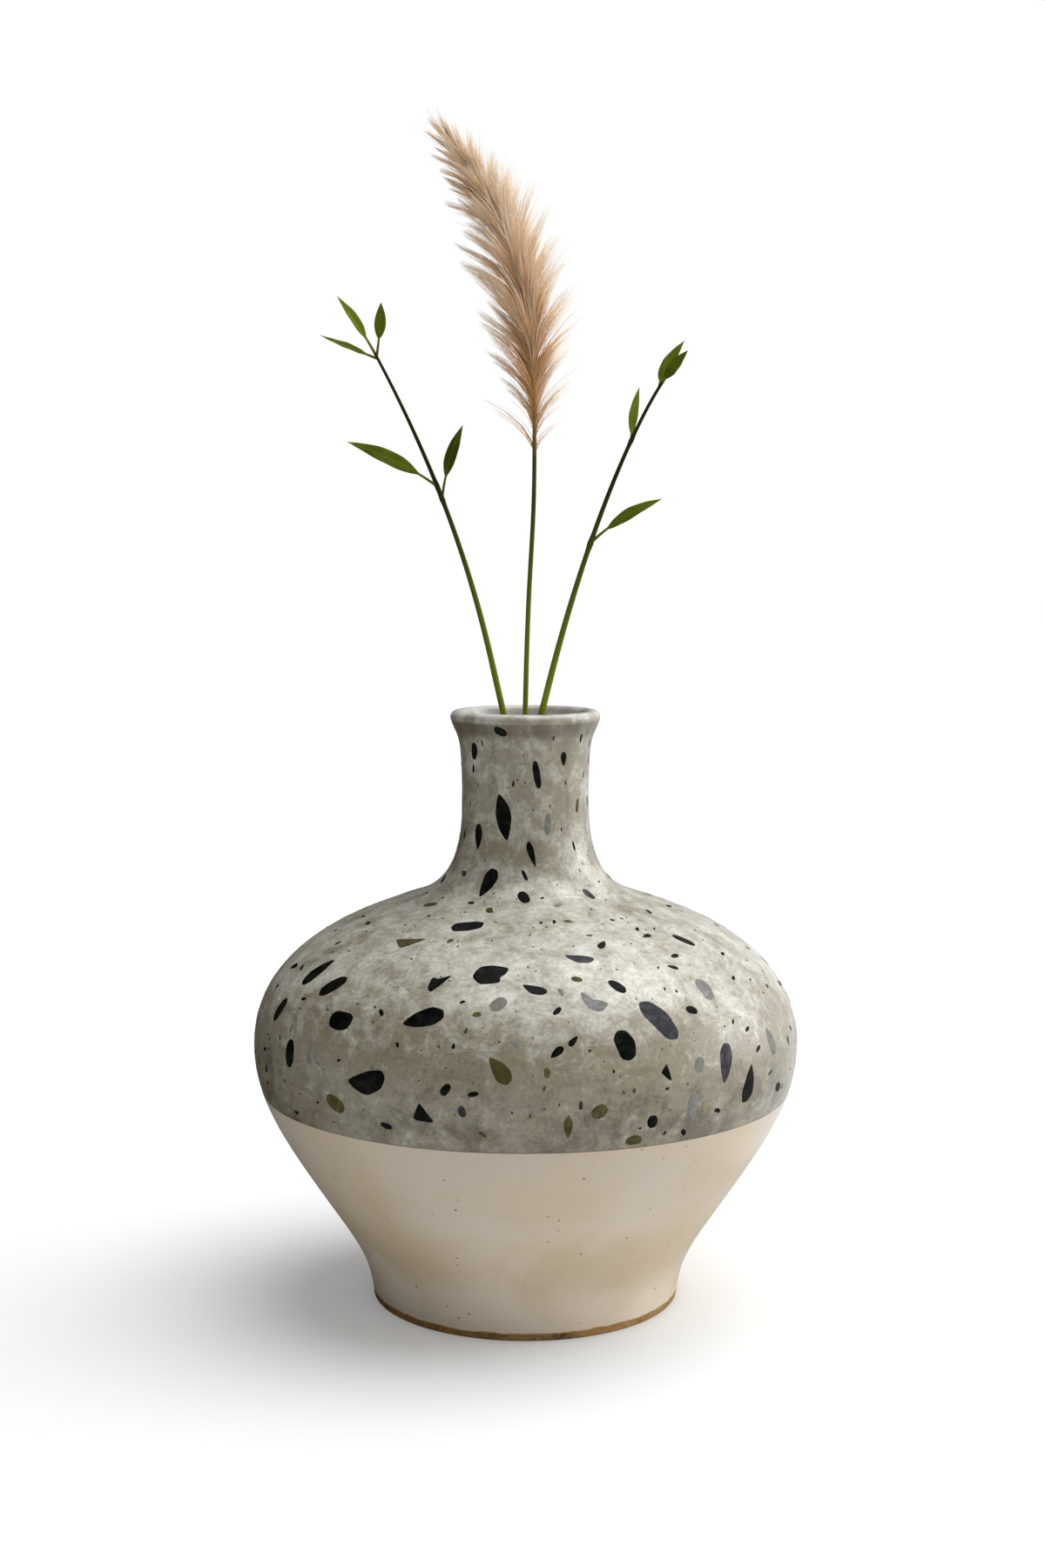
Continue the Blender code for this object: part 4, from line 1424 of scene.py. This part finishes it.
def straight_rays(node):
    """The light path, and which rays come from the camera, straight or through something clear."""
    path = node("LightPath")
    rays = {0: path.outputs["Is Camera Ray"], 1: path.outputs["Is Transmission Ray"]}
    return path, node("Math", rays, operation="MAXIMUM")


def paper(studio):
    """Seamless white paper: matt, with a fine tooth."""
    material, node, shader = new_material(
        "White backdrop paper", IOR=1.4, Roughness=0.95, Specular_IOR_Level=0.1, Emission_Color=grey(1.0)
    )
    place = node("TexCoord").outputs["Object"]
    tooth = node("TexNoise", {"Vector": place, "Scale": per_metre(0.8), "Detail": 2})
    shade = node("MapRange", {"Value": tooth, "To Min": 0.985, "To Max": 1.0})
    body = node("Mix", {0: shade, 6: grey(0.6), 7: studio.floor}, data_type="RGBA")
    # White where it is looked at, straight or in a reflection, and dimmer to bounced light
    path, straight = straight_rays(node)
    seen = node("Math", {0: straight, 1: path.outputs["Is Glossy Ray"]}, operation="MAXIMUM")
    shown = node("Mix", {0: seen, 6: grey(0.72), 7: body}, data_type="RGBA")
    feed(shader, {"Base Color": shown})
    glow = node("Math", {0: seen, 1: studio.paper_glow}, operation="MULTIPLY")
    feed(shader, {"Emission Strength": glow})
    return material


def painted_reflection_flag():
    """Flag seen only in reflections, a painted reflection: black on the left, glowing grey towards the
    right.
    """
    material, node, shader = new_material(
        "Flag of painted reflections", Base_Color=grey(0.02), Roughness=1.0, Specular_IOR_Level=0.0,
        Emission_Color=grey(1.0),
    )
    place = node("TexCoord").outputs["Object"]
    parts = node("SeparateXYZ", {0: place})
    fade = node(
        "MapRange",
        {"Value": parts.outputs["X"], "From Min": -0.05, "From Max": 0.08, "To Min": 0.02, "To Max": 0.5},
    )
    feed(shader, {"Emission Strength": fade})
    return material


PAPER_REACH = 6.0
# A dark flag around the foot and close behind, seen in reflections only: a painted dark reflection that
# calms the glaze's edge
FLAG_CORNERS = (
    (-0.45, -0.05, 0.0005), (0.10, -0.05, 0.0005), (0.10, 0.13, 0.0005), (-0.45, 0.06, 0.0005),
    (0.10, 0.13, 0.24), (-0.45, 0.06, 0.24),
)


def stage_sheet(name, corners, faces, material):
    """A flat sheet of the stage, which is no part of the object."""
    mesh = bpy.data.meshes.new(name)
    mesh.from_pydata(corners, [], faces)
    mesh.materials.append(material)
    sheet = bpy.data.objects.new(name, mesh)
    bpy.context.scene.collection.objects.link(sheet)
    return sheet


class BudVaseStudio(bpy.types.Operator):
    """Build the floor, the light and the camera"""

    bl_idname = "bud_vase.studio"
    bl_label = "Studio"

    def execute(self, context):
        scene = context.scene
        studio = scene.bud_vase_studio
        floor = [(x * PAPER_REACH, y * PAPER_REACH, 0.0) for x, y in ((-1, -1), (1, -1), (1, 1), (-1, 1))]
        stage_sheet("floor_paper", floor, [(0, 1, 2, 3)], paper(studio))
        flag = stage_sheet("flag_card", FLAG_CORNERS, [(0, 1, 2, 3), (3, 2, 4, 5)], painted_reflection_flag())
        for ray in ("camera", "diffuse", "transmission", "volume_scatter", "shadow"):
            setattr(flag, "visible_" + ray, False)

        # A bank of softboxes to the right, from low at the side to nearly overhead
        for name, strength, spread, bearing, elevation in (
            ("high_light", studio.high_strength, studio.high_spread, 11, 75),
            ("middle_light", studio.middle_strength, studio.low_spread, 20, 36),
            ("low_light", studio.low_strength, studio.low_spread, 9, 7),
        ):
            lamp = bpy.data.lights.new(name, "SUN")
            lamp.energy = strength
            lamp.angle = spread
            light = bpy.data.objects.new(name, lamp)
            light.rotation_euler = (math.radians(90 - elevation), 0.0, math.radians(90 + bearing))
            scene.collection.objects.link(light)

        world = bpy.data.worlds.new("white_room")
        world.use_nodes = True
        world.node_tree.nodes.clear()
        node = partial(add_node, world.node_tree)
        path, straight = straight_rays(node)
        # Reflections show the white backdrop behind the vase and the dim room in front of it
        toward = node("TexCoord")
        parts = node("SeparateXYZ", {0: toward.outputs["Generated"]})
        behind = node(
            "MapRange",
            {"Value": parts.outputs["Y"], "From Min": 0.2, "From Max": 0.9},
            interpolation_type="SMOOTHSTEP",
        )
        mirrored = node("Math", {0: path.outputs["Is Glossy Ray"], 1: behind}, operation="MULTIPLY")
        seen = node("Math", {0: straight, 1: mirrored}, operation="MAXIMUM")
        fill = node(
            "MapRange",
            {"Value": parts.outputs["X"], "From Min": -0.7, "From Max": 0.8,
             "To Min": studio.fill_left, "To Max": studio.fill_right},
        )
        room = node("Background", {"Color": grey(1.0), "Strength": fill})
        white = node("Background", {"Color": grey(1.0), "Strength": 1.0})
        mixed = node("MixShader", {0: seen, 1: room, 2: white})
        node("OutputWorld", {"Surface": mixed})
        scene.world = world

        lens = bpy.data.cameras.new("camera")
        lens.lens = studio.lens
        lens.sensor_width = 36.0
        lens.clip_start = 0.01
        lens.clip_end = 50.0
        camera = bpy.data.objects.new("camera", lens)
        camera.location = (studio.camera_side, -studio.distance, studio.camera_height)
        camera.rotation_euler = (math.pi / 2 - studio.pitch, 0.0, 0.0)
        scene.collection.objects.link(camera)
        scene.camera = camera
        scene.view_settings.view_transform = "Standard"
        return {"FINISHED"}


OPERATORS = (
    BudVaseLower,
    BudVaseUpper,
    BudVaseFoot,
    BudVaseChips,
    BudVaseStems,
    BudVaseLeaves,
    BudVasePlume,
    BudVaseStudio,
)


class BudVasePanel(bpy.types.Panel):
    """Lists the pieces of the vase in the sidebar"""

    bl_idname = "VIEW3D_PT_bud_vase"
    bl_label = "Bud vase"
    bl_space_type = "VIEW_3D"
    bl_region_type = "UI"
    bl_category = "Bud vase"

    def draw(self, context):
        for operator in OPERATORS:
            self.layout.operator(operator.bl_idname)


SETTINGS = {
    "bud_vase": VaseSettings,
    "bud_vase_plants": PlantSettings,
    "bud_vase_studio": StudioSettings,
}


def register():
    for cls in (*SETTINGS.values(), *OPERATORS, BudVasePanel):
        bpy.utils.register_class(cls)
    for name, cls in SETTINGS.items():
        setattr(bpy.types.Scene, name, PointerProperty(type=cls))


def unregister():
    for name in SETTINGS:
        delattr(bpy.types.Scene, name)
    for cls in (BudVasePanel, *reversed(OPERATORS), *SETTINGS.values()):
        bpy.utils.unregister_class(cls)


def main():
    register()
    bpy.ops.bud_vase.lower_body()
    bpy.ops.bud_vase.upper_body()
    bpy.ops.bud_vase.foot_ring()
    bpy.ops.bud_vase.glaze_chips()
    bpy.ops.bud_vase.stems()
    bpy.ops.bud_vase.leaves()
    bpy.ops.bud_vase.plume()
    bpy.ops.bud_vase.studio()


if __name__ == "__main__":
    main()
